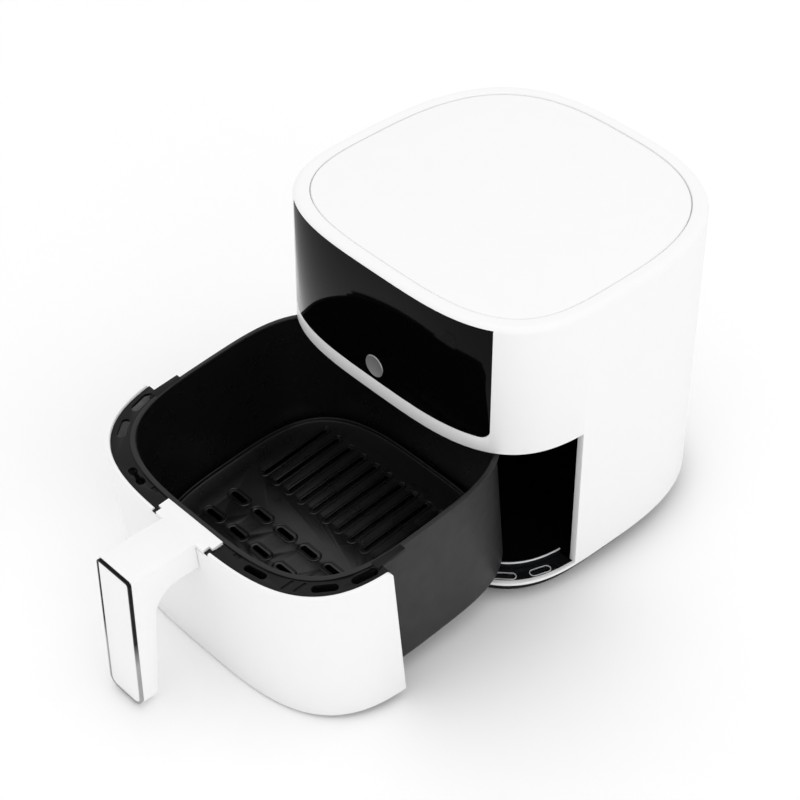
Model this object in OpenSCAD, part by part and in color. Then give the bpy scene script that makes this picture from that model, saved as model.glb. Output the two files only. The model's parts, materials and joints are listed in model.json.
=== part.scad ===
// Hot-air fryer with a pull-out drawer.
// Millimetres, +Z up, front towards -Y. The origin lies on the table, midway across the footprint
// of the fryer as it stands with its drawer drawn out and tipped on to the table.

/* [Body] */
// Width of the body across its widest line
body_w = 300; // [280:1:330]
// Depth of the body from front to back
body_d = 290; // [275:1:320]
// Height of the rim above the table
body_h = 287; // [275:1:310]
// Distance from the front to the widest line
widest_from_front = 123; // [110:1:140]
// Squareness of the front half of the outline
front_square = 3.4; // [3:0.1:4]
// Squareness of the back half of the outline
back_square = 2.9; // [2.6:0.1:3.6]
// Thickness of the outer shell
shell_t = 3.2; // [2.8:0.1:4]
// Height of the lower edge of the shell above the table
skirt_z = 17; // [15:0.5:20]
// Radius of the rounded rim
rim_r = 5; // [4:0.5:7]
// Thickness of the top flange of the shell
flange_t = 3; // [2.5:0.1:4]

/* [Top cover] */
// Width of the rim between the outside and the cover
cover_inset = 12; // [10:0.5:16]
// Height of the crown of the cover above the rim
cover_crown = 2.5; // [1:0.5:4]
// Thickness of the cover
cover_t = 2.4; // [2:0.1:3]

/* [Control panel] */
// Width of the control panel
panel_w = 228; // [200:1:240]
// Thickness of the control panel
panel_t = 2; // [1.5:0.1:2.2]
// Height of rim left above the panel
panel_drop = 3.6; // [3:0.1:6]
// Height of the strip between the panel and the opening
strip_h = 13.7; // [10:0.1:18]
// Radius of the two lower corners of the panel
panel_corner_r = 8; // [4:0.5:12]
// Diameter of the plain badge on the panel
badge_d = 20; // [14:1:26]
// Height of the badge above the lower edge of the panel
badge_rise = 14; // [12:1:30]

/* [Drawer opening] */
// Height of the lip below the opening
lip_h = 3.5; // [3:0.1:5]
// Height of the opening
opening_h = 142; // [130:1:150]
// How far back the opening wraps around the sides
opening_wrap = 87; // [75:1:100]
// Width of the return around the sides of the opening
return_w = 6; // [5:0.5:8]
// Gap below and beside the closed drawer
drawer_gap = 1; // [0.8:0.1:1.5]
// Gap above the closed drawer
top_gap = 2; // [1.5:0.1:3]

/* [Drawer] */
// How far the drawer is drawn out
pull = 190; // [150:1:200]
// Thickness of the front of the drawer
front_t = 3; // [2.5:0.1:3.5]
// Thickness of the trim around the pan
trim_t = 2.5; // [2:0.1:3.5]
// Height that the white lip stands above the trim
lip_proud = 2.4; // [1.5:0.1:3]
// Half width of the pan outside its walls
pan_half_w = 132; // [120:1:134]
// Distance from the front of the body to the pan
pan_from_front = 20; // [18:1:26]
// Length of the pan outside its walls
pan_l = 235; // [210:1:240]
// Thickness of the pan
pan_t = 1.2; // [1:0.1:2]
// Squareness of the outline of the pan
pan_square = 3.5; // [3:0.1:4.5]
// Width of the rim of the pan
pan_rim_w = 3; // [2:0.1:4]
// Gap left under the front of the tipped drawer
rest_gap = 0.6; // [0.5:0.1:1.5]

/* [Handle] */
// Width of the handle
grip_w = 40; // [32:1:46]
// Depth of the upright grip without its front trim
grip_d = 19; // [16:1:24]
// Gap for the fingers between the drawer and the grip
finger_gap = 42; // [38:1:55]
// Height of the neck of the handle
neck_h = 25; // [20:1:30]
// Height of the lower end of the grip before the handle leans
grip_z = 24; // [24:1:50]
// Lean of the handle, which stands it upright while the drawer is tipped, in degrees
handle_lean = 5.6; // [0:0.1:6.5]
// How much thinner the grip is at its lower end
grip_taper = 6; // [0:0.5:8]
// Radius of the lower corners of the grip
grip_low_r = 9; // [6:0.5:14]
// Radius of the upper corners of the grip
grip_top_r = 4; // [3.5:0.5:8]
// Width of the foot of the handle on the trim
foot_w = 66; // [60:1:80]
// Thickness of the bright bezel
bezel_t = 3; // [2:0.5:4]
// Width of the bright bezel
bezel_w = 2; // [1.5:0.1:3]

/* [Crisper plate] */
// Height of the crisper plate above the floor of the pan
plate_rise = 12; // [8:1:20]
// Thickness of the crisper plate
plate_t = 2; // [1.5:0.1:3]
// Gap between the crisper plate and the walls of the pan
plate_gap = 2.5; // [2:0.1:4]
// Width of the slots in the crisper plate
slot_w = 5; // [4:0.5:6]

/* [Sill] */
// Diameter of the glide bar that the drawer slides and tips on
bar_d = 6; // [5:0.5:7]
// Length of the glide bar
bar_l = 150; // [120:1:170]
// Radial clearance of the glide bar in its saddles
bar_clear = 0.06; // [0.03:0.01:0.1]
// Width of the sill inside the lip
sill_w = 17; // [15:1:20]

/* [Chamber] */
// Gap between the shell and the liner
liner_gap = 4; // [3.5:0.1:5]
// Thickness of the liner
liner_t = 1; // [0.8:0.1:2]
// Gap between the liner and the back of the body
liner_back_gap = 20; // [18:1:24]
// Height of the chamber ceiling above the opening
ceiling_rise = 38; // [34:1:44]
// Diameter of the heating tube
tube_d = 7; // [6:0.5:8]
// Radius of the outer heating ring
ring_r = 88; // [75:1:95]
// Spacing of the two heating rings
ring_step = 26; // [20:1:30]
// Diameter of the guard wires
wire_d = 2.4; // [2:0.1:3]

/* [Fans and motor] */
// Radius of the fan housing
fan_housing_r = 76; // [70:1:80]
// Height of the fan housing above the ceiling
fan_housing_h = 30; // [26:1:34]
// Radius of the convection fan
fan_r = 66; // [50:1:68]
// Diameter of the motor shaft
shaft_d = 6; // [5:0.5:8]
// Radial clearance of the shaft
shaft_clear = 0.05; // [0.03:0.01:0.1]
// Diameter of the motor
motor_d = 62; // [50:1:70]
// Height of the motor
motor_h = 24; // [20:1:28]
// Number of blades on each fan
blades = 8; // [5:1:10]

/* [Hidden] */

$fn = 64;
eps = 0.01;
fit_gap = 0.3;             // gap between pieces that are fitted side by side
outline_steps = 96;        // points around an outline
rim_steps = 5;             // slices in the rounded rim
rim_lap = 0.1;             // how far each slice of the rim sinks into the one below
crown_steps = 3;           // slices in the crown of the cover
crown_run = 60;            // how far in from its edge the crown still rises

widest_y = widest_from_front - body_d / 2;
body_back = body_d / 2;
body_front = -body_d / 2;

// Heights
opening_z0 = skirt_z + lip_h;
opening_z1 = opening_z0 + opening_h;
opening_y = body_front + opening_wrap;
panel_z0 = opening_z1 + strip_h;
panel_z1 = body_h - panel_drop;
ceiling_z = opening_z1 + ceiling_rise;
ceiling_t = 1.5;

// Sill and glide bar
sill_z = opening_z0 - 0.5;
ridge_h = 5;
ridge_w = 2.5;
bar_r = bar_d / 2;
bar_y = body_front + sill_w;
bar_z = sill_z + ridge_h - bar_r + 0.7;

// Closed drawer
front_z0 = opening_z0 + drawer_gap;
front_z1 = opening_z1 - top_gap;
front_edge_y = opening_y - drawer_gap;
trim_z1 = front_z1 - lip_proud;
trim_z0 = trim_z1 - trim_t;
under_z = bar_z + bar_r + fit_gap;
pan_z0 = under_z + 0.2;
pan_front = body_front + pan_from_front;
pan_back = pan_front + pan_l;
pan_mid = (pan_front + pan_back) / 2;
pan_rim_h = 1.2;
pan_chamfer = 6;
pan_lap = 0.2;             // how far the wall of the pan overlaps its chamfer
pan_z1 = trim_z1 + fit_gap + pan_rim_h;
skirt_drop = 0.6;          // the dark floor shows this far below the white front

// Tipped drawer
nose_z = front_z0 - skirt_drop;
tip_reach = bar_y - body_front + pull;
tip_angle = asin((nose_z - rest_gap) / tip_reach);

// Handle
handle_z1 = front_z1 + 0.4;
tongue_t = 4;
foot_step = 0.1;           // how far the foot stays inside the sides and the top of the neck
neck_z0 = handle_z1 - neck_h;
grip_back = body_front - finger_gap;
grip_front = grip_back - grip_d;
bezel_front = grip_front - bezel_t;

// Crisper plate
plate_z = pan_z0 + pan_t + plate_rise;
bumper_r = 4;
bumper_x = pan_half_w - 72;
ring_pitch = (pan_half_w - 42) / 3;   // short slots, side to side
slot_pitch = ring_pitch - 8;         // long slots, side to side
bumper_in = 12;            // distance of the bumpers from the edge of the plate

// Chamber
liner_half_w = body_w / 2 - shell_t - liner_gap;
liner_front = body_front + shell_t + liner_gap;
liner_back = body_back - liner_back_gap;
hot_y = (liner_front + liner_back) / 2;
liner_floor_z = sill_z - liner_t;
tube_z = ceiling_z - 10;
guard_z = tube_z - 10;
housing_z1 = ceiling_z + ceiling_t + fan_housing_h;
motor_z = housing_z1 + 4;
fan_z = ceiling_z + 5;
cooling_z = motor_z + motor_h + 3;
cooling_h = 6;
vent_w = 110;
vent_h = 56;
vent_z = ceiling_z - vent_h - 6;
vent_proud = 8;
gland_x = 60;
gland_z = 45;
gland_hole_r = 3.75;
gland_l = 19;
gap_turn = 12;             // opening between the ends of the heating rings, in degrees
guard_r = 104;
guard_hub_r = 7;
foot_r = 10;
foot_h = 5;
base_floor_t = 2.5;
switch_x = 50;
switch_z = 118;
plunger_r = 2.5;
plunger_gap = 1;
screw_r = 1.75;
bracket_bolt_r = 40;
head_r = 3.5;

// Frame: the footprint runs from the front of the tipped grip to the vent
handle_turn = tip_angle - handle_lean;
handle_root_y = bar_y + (body_front - pull - bar_y) * cos(tip_angle) - (handle_z1 - bar_z) * sin(tip_angle);
grip_nose_y = handle_root_y + (bezel_front - body_front) * cos(handle_turn)
  + min(0, (handle_z1 - grip_z) * sin(handle_turn));
frame_y = -(grip_nose_y + body_back + vent_proud) / 2;

// ---- Outlines ----
function signed_pow(v, p) = sign(v) * pow(abs(v), p);

// A rounded outline: half width, reach to the front and to the back from its widest line at mid_y
function outline(half_w, reach_front, reach_back, mid_y, square_front, square_back) = [
  for (i = [0 : outline_steps - 1])
    let (t = 360 * i / outline_steps, n = sin(t) < 0 ? square_front : square_back,
         reach = sin(t) < 0 ? reach_front : reach_back)
      [half_w * signed_pow(cos(t), 2 / n), mid_y + reach * signed_pow(sin(t), 2 / n)]
];

function body_outline(inset) = outline(body_w / 2 - inset, widest_from_front - inset,
  body_d - widest_from_front - inset, widest_y, front_square, back_square);

function pan_outline(grow) = outline(pan_half_w + grow, pan_l / 2 + grow, pan_l / 2 + grow, pan_mid,
  pan_square, pan_square);

function liner_outline(inset) = outline(liner_half_w - inset, widest_y - liner_front - inset,
  liner_back - widest_y - inset, widest_y, front_square, back_square);

// A point of the body outline at parameter t, and the direction that the outline runs there
function body_point(t, inset) = [
  (body_w / 2 - inset) * signed_pow(cos(t), 2 / front_square),
  widest_y + (widest_from_front - inset) * signed_pow(sin(t), 2 / front_square)
];
function body_heading(t, inset) =
  let (a = body_point(t - 1, inset), b = body_point(t + 1, inset)) atan2(b[1] - a[1], b[0] - a[0]);

// ---- Places ----
module on_body() translate([0, frame_y, 0]) children();

// The drawer's pieces are drawn closed and level, then drawn out and tipped over the glide bar
module on_drawer() translate([0, frame_y + bar_y, bar_z]) rotate([tip_angle, 0, 0])
  translate([0, -pull - bar_y, -bar_z]) children();

// ---- Shared shapes ----
module slab(inset, z0, z1) translate([0, 0, z0]) linear_extrude(z1 - z0) polygon(body_outline(inset));

module band(outer, inner, z0, z1) difference() {
  slab(outer, z0, z1);
  slab(inner, z0 - 1, z1 + 1);
}

module pan_slab(grow, z0, z1) translate([0, 0, z0]) linear_extrude(z1 - z0) polygon(pan_outline(grow));

// A slice of the pan outline that widens upwards from one outline to another
module pan_slice(grow0, grow1, z0, z1) translate([0, pan_mid, z0])
  linear_extrude(z1 - z0, slices = 1, scale = [(pan_half_w + grow1) / (pan_half_w + grow0),
    (pan_l / 2 + grow1) / (pan_l / 2 + grow0)])
      translate([0, -pan_mid]) polygon(pan_outline(grow0));

module liner_slab(inset, z0, z1) translate([0, 0, z0]) linear_extrude(z1 - z0)
  polygon(liner_outline(inset));

module box(x0, x1, y0, y1, z0, z1) translate([x0, y0, z0]) cube([x1 - x0, y1 - y0, z1 - z0]);

// Everything in front of the line y, for cutting
module ahead_of(y, z0, z1) box(-body_w, body_w, -2 * body_d, y, z0, z1);

module stadium(l, w) {
  square([l - w, w], center = true);
  for (s = [-1, 1]) translate([s * (l - w) / 2, 0]) circle(d = w);
}

// Slots that follow the front corners, at the parameters given
module corner_slots(params, inset, l, w, z0, z1)
  for (t = params, side = [0, 1]) mirror([side, 0, 0])
    translate(concat(body_point(t, inset), [z0])) rotate([0, 0, body_heading(t, inset)])
      linear_extrude(z1 - z0) stadium(l, w);

module at_corners(x, y0, y1, z) for (s = [-1, 1], y = [y0, y1]) translate([s * x, y, z]) children();

module screw(l) {
  cylinder(r = head_r, h = 2);
  translate([0, 0, 2 - eps]) cylinder(r = screw_r, h = l);
}

// A slice of the body outline that narrows upwards from one inset to another
module taper_slice(inset0, inset1, z0, z1) translate([0, widest_y, z0])
  linear_extrude(z1 - z0, slices = 1, scale = [(body_w / 2 - inset1) / (body_w / 2 - inset0),
    (body_d - widest_from_front - inset1) / (body_d - widest_from_front - inset0)])
      translate([0, -widest_y]) polygon(body_outline(inset0));

function rim_inset(i) = rim_r * (1 - cos(90 * i / rim_steps));
function rim_rise(i) = rim_r * sin(90 * i / rim_steps);
function crown_rise(i) = cover_crown * (1 - pow(1 - i / crown_steps, 2));

// ---- Housing ----
module panel_window(grow) {
  w = panel_w / 2 + grow;
  r = panel_corner_r;
  translate([-w, panel_z0 + r]) square([2 * w, panel_z1 + grow - panel_z0 - r]);
  translate([-w + r, panel_z0 - grow]) square([2 * (w - r), r + grow + eps]);
  for (s = [-1, 1]) translate([s * (w - r), panel_z0 - grow + r]) circle(r);
}

module panel_form(outer, inner, grow) intersection() {
  band(outer, inner, panel_z0 - 2 * panel_corner_r, panel_z1 + 2 * rim_r);
  translate([0, body_front / 2, 0]) rotate([90, 0, 0]) linear_extrude(body_d) panel_window(grow);
}

module outer_shell() color("#f5f5f4") on_body() difference() {
  union() {
    difference() {
      union() {
        slab(0, skirt_z, body_h - rim_r);
        for (i = [0 : rim_steps - 1])
          taper_slice(rim_inset(i) + rim_lap, rim_inset(i + 1), body_h - rim_r + rim_rise(i) - rim_lap,
            body_h - rim_r + rim_rise(i + 1));
      }
      slab(shell_t, skirt_z - 1, body_h - flange_t);
      slab(cover_inset, body_h - 2 * rim_r, body_h + 1);
    }
    band(cover_inset - 1.5, cover_inset, body_h - flange_t - 3, body_h - flange_t + 1);
    band(cover_inset - 1.5, cover_inset + 3, body_h - flange_t - 3, body_h - flange_t - 1.5);
    intersection() {
      band(0, return_w, opening_z0, opening_z1);
      box(-body_w, body_w, opening_y, opening_y + shell_t, opening_z0, opening_z1);
    }
  }
  ahead_of(opening_y, opening_z0, opening_z1);
  panel_form(-1, panel_t + 0.2, fit_gap);
  box(-34, 34, body_front - 1, body_front + 20, panel_z0 + 40, panel_z0 + 74);
  box(-vent_w / 2 - fit_gap, vent_w / 2 + fit_gap, body_back - 30, body_back + 5,
    vent_z - fit_gap, vent_z + vent_h + fit_gap);
  translate([gland_x, body_back - 40, gland_z]) rotate([-90, 0, 0]) cylinder(r = 7 + fit_gap, h = 60);
}

module top_cover() color("#f7f7f6") on_body() {
  inset = cover_inset + 0.5;
  edge_z = body_h - 0.6;
  difference() {
    slab(inset, body_h - flange_t - 1.2, edge_z);
    slab(inset + 8, body_h - flange_t - 2, edge_z - cover_t + 1);
  }
  for (i = [0 : crown_steps - 1])
    taper_slice(inset + crown_run * i / crown_steps, inset + crown_run * (i + 1) / crown_steps,
      edge_z + crown_rise(i) - eps, edge_z + crown_rise(i + 1));
}

module control_panel() color("#0b0b0c") on_body() panel_form(0, panel_t, 0);

module panel_badge() color("#c9c9c9") on_body()
  translate([0, body_front - 0.6, panel_z0 + badge_rise]) rotate([-90, 0, 0])
    cylinder(d = badge_d, h = 0.5);

module display_module() color("#20262a") on_body() {
  box(-32, 32, body_front + panel_t + fit_gap, body_front + 11, panel_z0 + 42, panel_z0 + 72);
}

module panel_board() color("#1f5a34") on_body() difference() {
  box(-75, 75, body_front + 11.2, body_front + 12.8, ceiling_z + 6, ceiling_z + 66);
  for (s = [-1, 1], z = [ceiling_z + 11, ceiling_z + 61])
    translate([s * 70, body_front + 10, z]) rotate([-90, 0, 0]) cylinder(r = screw_r, h = 5);
}

module base_plate() color("#2a2b2d") on_body() difference() {
  union() {
    slab(8, foot_h, foot_h + base_floor_t);
    band(8, 10.5, foot_h, skirt_z + 1.5);
    band(shell_t + 0.4, 10.5, skirt_z + 0.2, skirt_z + 1.5);
    at_corners(body_w * 0.3, -body_d * 0.3, body_d * 0.3, foot_h) cylinder(r = 6, h = 8);
  }
  at_corners(body_w * 0.3, -body_d * 0.3, body_d * 0.3, foot_h - 1) cylinder(r = screw_r + 0.1, h = 12);
  at_corners(body_w * 0.3, -body_d * 0.3, body_d * 0.3, foot_h - 1) cylinder(r = head_r + 0.3, h = 3.2);
  for (i = [-4 : 4]) translate([i * 12, body_d * 0.12, foot_h - 1]) linear_extrude(base_floor_t + 2)
    rotate([0, 0, 90]) stadium(60, 5);
}

module rubber_feet() color("#1b1b1c") on_body()
  at_corners(body_w * 0.36, -body_d * 0.24, body_d * 0.24, 0)
    rotate_extrude() polygon([[0, 0], [foot_r - 1, 0], [foot_r, 1.5], [foot_r, foot_h], [0, foot_h]]);

module base_screws() color("#b8b8b8") on_body()
  at_corners(body_w * 0.3, -body_d * 0.3, body_d * 0.3, foot_h) screw(9);

module saddle_slots(z0, z1) box(-bar_l / 2 - 6, bar_l / 2 + 6, body_front, bar_y + 5, z0, z1);

module sill_tray() color("#17181a") on_body() difference() {
  union() {
    intersection() {
      union() {
        band(shell_t + fit_gap, sill_w + ridge_w + 3, sill_z - 1.2, sill_z);
        difference() {
          band(sill_w, sill_w + ridge_w, sill_z - 1, sill_z + ridge_h);
          saddle_slots(sill_z, sill_z + 2 * ridge_h);
        }
      }
      ahead_of(opening_y - fit_gap, 0, body_h);
    }
    for (x = [-bar_l / 2 - 5, 0, bar_l / 2 + 1])
      box(x, x + 4, bar_y - bar_r - 2, bar_y + bar_r + 2, sill_z - 1, bar_z + 0.6);
  }
  corner_slots([-23, -52], sill_w * 0.6, 20, 6, sill_z - 4, sill_z + 1);
  translate([-bar_l / 2 - fit_gap, bar_y, bar_z]) rotate([0, 90, 0])
    cylinder(r = bar_r + bar_clear, h = bar_l + 2 * fit_gap);
}

module glide_bar() color("#c4c6c8") on_body()
  translate([-bar_l / 2, bar_y, bar_z]) rotate([0, 90, 0]) cylinder(r = bar_r, h = bar_l);

module cavity_liner() color("#141516") on_body() difference() {
  liner_slab(0, liner_floor_z, ceiling_z - fit_gap);
  liner_slab(liner_t, sill_z, ceiling_z + 1);
  difference() {
    ahead_of(opening_y + shell_t + fit_gap, 0, opening_z1 + 1);
    slab(sill_w + ridge_w + 3 + fit_gap, liner_floor_z - 1, sill_z);
  }
  for (i = [-3 : 3]) translate([i * 14, liner_back - 20, vent_z + vent_h / 2]) rotate([-90, 0, 0])
    linear_extrude(30) rotate([0, 0, 90]) stadium(vent_h - 16, 6);
  translate([switch_x, liner_back - 20, switch_z]) rotate([-90, 0, 0])
    cylinder(r = plunger_r + 0.4, h = 30);
}

// ---- Heat and air ----
module at_ring(r, count, z, turn = 0) for (k = [0 : count - 1])
  translate([0, hot_y, z]) rotate([0, 0, turn + 360 * k / count]) translate([r, 0, 0]) children();

module chamber_ceiling() color("#9a9b9c") on_body() difference() {
  liner_slab(0, ceiling_z, ceiling_z + ceiling_t);
  translate([0, hot_y, ceiling_z - 1]) cylinder(r = fan_housing_r - 3, h = 4);
  at_ring(ring_r, 1, ceiling_z - 1, 90 - gap_turn / 2) translate([0, 0.8, 0]) cylinder(d = tube_d + 1.6, h = 4);
  translate([-104, hot_y + 30, ceiling_z - 1]) cylinder(r = 2.4, h = 4);
  at_ring(fan_housing_r + 5, 4, ceiling_z - 1, 45) cylinder(r = screw_r + 0.1, h = 4);
}

module ceiling_screws() color("#b8b8b8") on_body()
  at_ring(fan_housing_r + 5, 4, ceiling_z - 2 - eps, 45) screw(6);

// Two open rings joined by a link at one end, with a terminal that rises from each other end
module heating_element() color("#6d6a68") on_body() translate([0, hot_y, tube_z]) {
  for (r = [ring_r, ring_r - ring_step]) rotate([0, 0, 90 + gap_turn / 2])
    rotate_extrude(angle = 360 - gap_turn, $fn = 48) translate([r, 0]) circle(d = tube_d, $fn = 20);
  rotate([0, 0, 90 + gap_turn / 2]) translate([ring_r - ring_step - tube_d / 2, -tube_d / 2, -tube_d / 2])
    cube([ring_step + tube_d, tube_d, tube_d]);
  rotate([0, 0, 90 - gap_turn / 2]) {
    translate([ring_r, 0.8, -tube_d / 2 - 0.5]) cylinder(d = tube_d + 1, h = 30, $fn = 20);
    translate([ring_r - ring_step, 0.8, -tube_d / 2 - 0.5]) cylinder(d = tube_d + 1, h = 10, $fn = 20);
  }
}

module element_seals() color("#d8d2c4") on_body()
  translate([0, hot_y, ceiling_z + ceiling_t + 0.1]) rotate([0, 0, 90 - gap_turn / 2])
    translate([ring_r, 0.8, 0]) difference() {
      cylinder(r = 7, h = 5);
      translate([0, 0, -1]) cylinder(d = tube_d + 1.2, h = 8);
    }

// Wire rings welded under three spokes, on legs that hang from the ceiling
module heater_guard() color("#b4b6b8") on_body() translate([0, hot_y, guard_z]) {
  for (r = [28 : 24 : 100]) translate([0, 0, -wire_d * 0.55]) rotate_extrude($fn = 48)
    translate([r, 0]) circle(d = wire_d, $fn = 16);
  translate([0, 0, -wire_d]) cylinder(r = guard_hub_r, h = 2 * wire_d);
  for (a = [0 : 60 : 300]) rotate([0, 0, a + 15]) {
    translate([guard_hub_r - 2, 0, 0]) rotate([0, 90, 0])
      cylinder(d = wire_d, h = guard_r - guard_hub_r + 2, $fn = 16);
    translate([guard_r - 1, 0, -wire_d])
      cylinder(d = wire_d + 0.8, h = ceiling_z - guard_z + wire_d - 0.2, $fn = 16);
  }
}

module fan_housing() color("#a9abad") on_body() translate([0, hot_y, ceiling_z + ceiling_t + 0.1])
  difference() {
    union() {
      cylinder(r = fan_housing_r, h = fan_housing_h);
      cylinder(r = fan_housing_r + 10, h = 1.2);
    }
    translate([0, 0, -1]) cylinder(r = fan_housing_r - 1.2, h = fan_housing_h - 0.2);
    translate([0, 0, -1]) cylinder(d = shaft_d + 4, h = fan_housing_h + 2);
    for (k = [0 : 3]) rotate([0, 0, 45 + 90 * k]) translate([fan_housing_r + 5, 0, -1])
      cylinder(r = screw_r + 0.1, h = 4);
    rotate([0, 0, 90 - gap_turn / 2]) translate([ring_r, 0, -1]) cylinder(r = 8, h = 4);
    for (k = [0 : 2]) rotate([0, 0, 120 * k]) translate([bracket_bolt_r, 0, fan_housing_h - 3])
      cylinder(r = screw_r + 0.1, h = 5);
  }

module insulation_wrap() color("#cfc9b8") on_body() translate([0, hot_y, ceiling_z + ceiling_t + 7])
  difference() {
    cylinder(r = fan_housing_r + 6, h = fan_housing_h - 10);
    translate([0, 0, -1]) cylinder(r = fan_housing_r + 0.3, h = fan_housing_h);
    rotate([0, 0, 90 - gap_turn / 2]) translate([ring_r, 0, -1]) cylinder(r = 8, h = fan_housing_h);
  }

module fan_wheel(r, hub_r, h, bore_r, tilt) difference() {
  union() {
    cylinder(r = hub_r, h = h);
    cylinder(r = r * 0.62, h = 1.2);
    for (k = [0 : blades - 1]) rotate([0, 0, 360 * k / blades])
      translate([hub_r - 1, 0, h / 2]) rotate([tilt, 0, 0]) translate([0, -0.6, -h / 2 + 0.4])
        cube([r - hub_r, 1.2, h - 0.8]);
  }
  translate([0, 0, -1]) cylinder(r = bore_r, h = h + 2);
}

module convection_fan() color("#b9bbbd") on_body() translate([0, hot_y, fan_z])
  fan_wheel(fan_r, 10, 16, shaft_d / 2, 20);

module motor_shaft() color("#d0d1d2") on_body() translate([0, hot_y, fan_z - 6])
  cylinder(d = shaft_d, h = cooling_z + cooling_h + 1 - fan_z + 6);

module fan_nut() color("#c8a95a") on_body() translate([0, hot_y, fan_z - 5]) difference() {
  cylinder(r = 6, h = 5, $fn = 6);
  translate([0, 0, -1]) cylinder(d = shaft_d, h = 8);
}

module cooling_fan() color("#3a3b3d") on_body() translate([0, hot_y, cooling_z])
  fan_wheel(44, 8, cooling_h, shaft_d / 2, 25);

module motor_stator() color("#8f9193") on_body() translate([0, hot_y, motor_z]) difference() {
  union() {
    translate([0, 0, 4]) cylinder(d = motor_d, h = motor_h - 8);
    cylinder(d = motor_d - 14, h = motor_h);
  }
  translate([0, 0, -1]) cylinder(r = shaft_d / 2 + shaft_clear, h = motor_h + 2);
}

module motor_bracket() color("#aeb0b2") on_body() translate([0, hot_y, 0]) {
  difference() {
    translate([0, 0, housing_z1 + 0.4]) cylinder(r = 46, h = 1.6);
    translate([0, 0, housing_z1 - 1]) cylinder(d = shaft_d + 4, h = 5);
    for (k = [0 : 2]) rotate([0, 0, 120 * k]) translate([bracket_bolt_r, 0, housing_z1 - 1])
      cylinder(r = screw_r + 0.1, h = 5);
  }
  for (k = [0 : 2]) rotate([0, 0, 60 + 120 * k])
    translate([motor_d / 2 + 0.4, -6, housing_z1 + 0.4]) cube([2, 12, motor_h]);
}

module motor_screws() color("#b8b8b8") on_body() translate([0, hot_y, 0])
  for (k = [0 : 2]) rotate([0, 0, 120 * k]) translate([bracket_bolt_r, 0, housing_z1 + 4.2])
    mirror([0, 0, 1]) screw(3);

module exhaust_duct() color("#7f8183") on_body() difference() {
  box(-vent_w / 2 + 2, vent_w / 2 - 2, liner_back + 0.4, body_back - 7.4, vent_z + 2, vent_z + vent_h - 2);
  box(-vent_w / 2 + 3.2, vent_w / 2 - 3.2, liner_back - 4, body_back, vent_z + 3.2, vent_z + vent_h - 3.2);
}

module rear_vent() color("#1e1f21") on_body() {
  y0 = body_back - 7;
  y1 = body_back + vent_proud;
  difference() {
    box(-vent_w / 2, vent_w / 2, y0, y1, vent_z, vent_z + vent_h);
    box(-vent_w / 2 + 3, vent_w / 2 - 3, y0 - 1, y1 + 1, vent_z + 3, vent_z + vent_h - 3);
  }
  for (k = [0 : 5]) translate([0, y1 - 6, vent_z + 5.5 + k * (vent_h - 11) / 5]) rotate([-30, 0, 0])
    cube([vent_w - 4, 9, 1.4], center = true);
  for (x = [-vent_w / 4, 0, vent_w / 4]) box(x - 1, x + 1, y0 + 1, y1 - 2, vent_z + 2, vent_z + vent_h - 2);
}

module temp_probe() color("#c9cacb") on_body() translate([-104, hot_y + 30, ceiling_z - 14]) {
  cylinder(r = 2, h = 40);
  translate([0, 0, 14 + ceiling_t + 0.1]) cylinder(r = 5, h = 2);
}

module thermal_fuse() color("#e4e0d6") on_body() translate([100, hot_y - 24, ceiling_z + ceiling_t + 3.2]) {
  rotate([90, 0, 0]) cylinder(r = 3, h = 20, center = true);
  for (y = [-14, 14]) translate([0, y, 0]) rotate([90, 0, 0]) cylinder(r = 0.6, h = 10, center = true);
}

module door_switch() color("#26272a") on_body() difference() {
  box(switch_x - 13, switch_x + 13, liner_back + 0.4, liner_back + 10, switch_z - 9, switch_z + 9);
  translate([switch_x, liner_back - 1, switch_z]) rotate([-90, 0, 0])
    cylinder(r = plunger_r + 0.08, h = 8);
}

module switch_plunger() color("#d8d8d8") on_body()
  translate([switch_x, pan_back + plunger_gap, switch_z]) rotate([-90, 0, 0])
    cylinder(r = plunger_r, h = liner_back + 4 - pan_back - plunger_gap);

module power_board() color("#2b6a3e") on_body() {
  y0 = hot_y + fan_housing_r + 12;
  y1 = body_back - 16;
  z = ceiling_z + 40;
  difference() {
    box(-52, 52, y0, y1, z, z + 1.6);
    for (s = [-1, 1], y = [y0 + 4, y1 - 4]) translate([s * 48, y, z - 1]) cylinder(r = screw_r, h = 4);
  }
  box(-40, -20, y0 + 8, y0 + 24, z + 1.6 - eps, z + 17);
  for (x = [0, 16]) translate([x, y0 + 14, z + 1.6 - eps]) cylinder(r = 6, h = 18);
  box(28, 42, y0 + 6, y0 + 26, z + 1.6 - eps, z + 13);
}

module board_posts() color("#303134") on_body() {
  y0 = hot_y + fan_housing_r + 12;
  y1 = body_back - 16;
  for (s = [-1, 1], y = [y0 + 4, y1 - 8]) translate([s * 48, y, ceiling_z + ceiling_t + 0.1])
    cylinder(r = 3, h = 38.2 - ceiling_t);
}

module terminal_block() color("#e8e6df") on_body() difference() {
  box(86, 122, hot_y + 34, hot_y + 50, ceiling_z + ceiling_t + 0.1, ceiling_z + 15);
  for (x = [92, 104, 116]) translate([x, hot_y + 42, ceiling_z + 8]) cylinder(r = 2.4, h = 10);
}

module cord_gland() color("#232426") on_body() translate([gland_x, body_back - gland_l, gland_z])
  rotate([-90, 0, 0]) difference() {
    union() {
      cylinder(r = 7, h = gland_l);
      translate([0, 0, 1]) cylinder(r = 10, h = 3);
    }
    translate([0, 0, -1]) cylinder(r = gland_hole_r, h = 40);
  }

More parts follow.
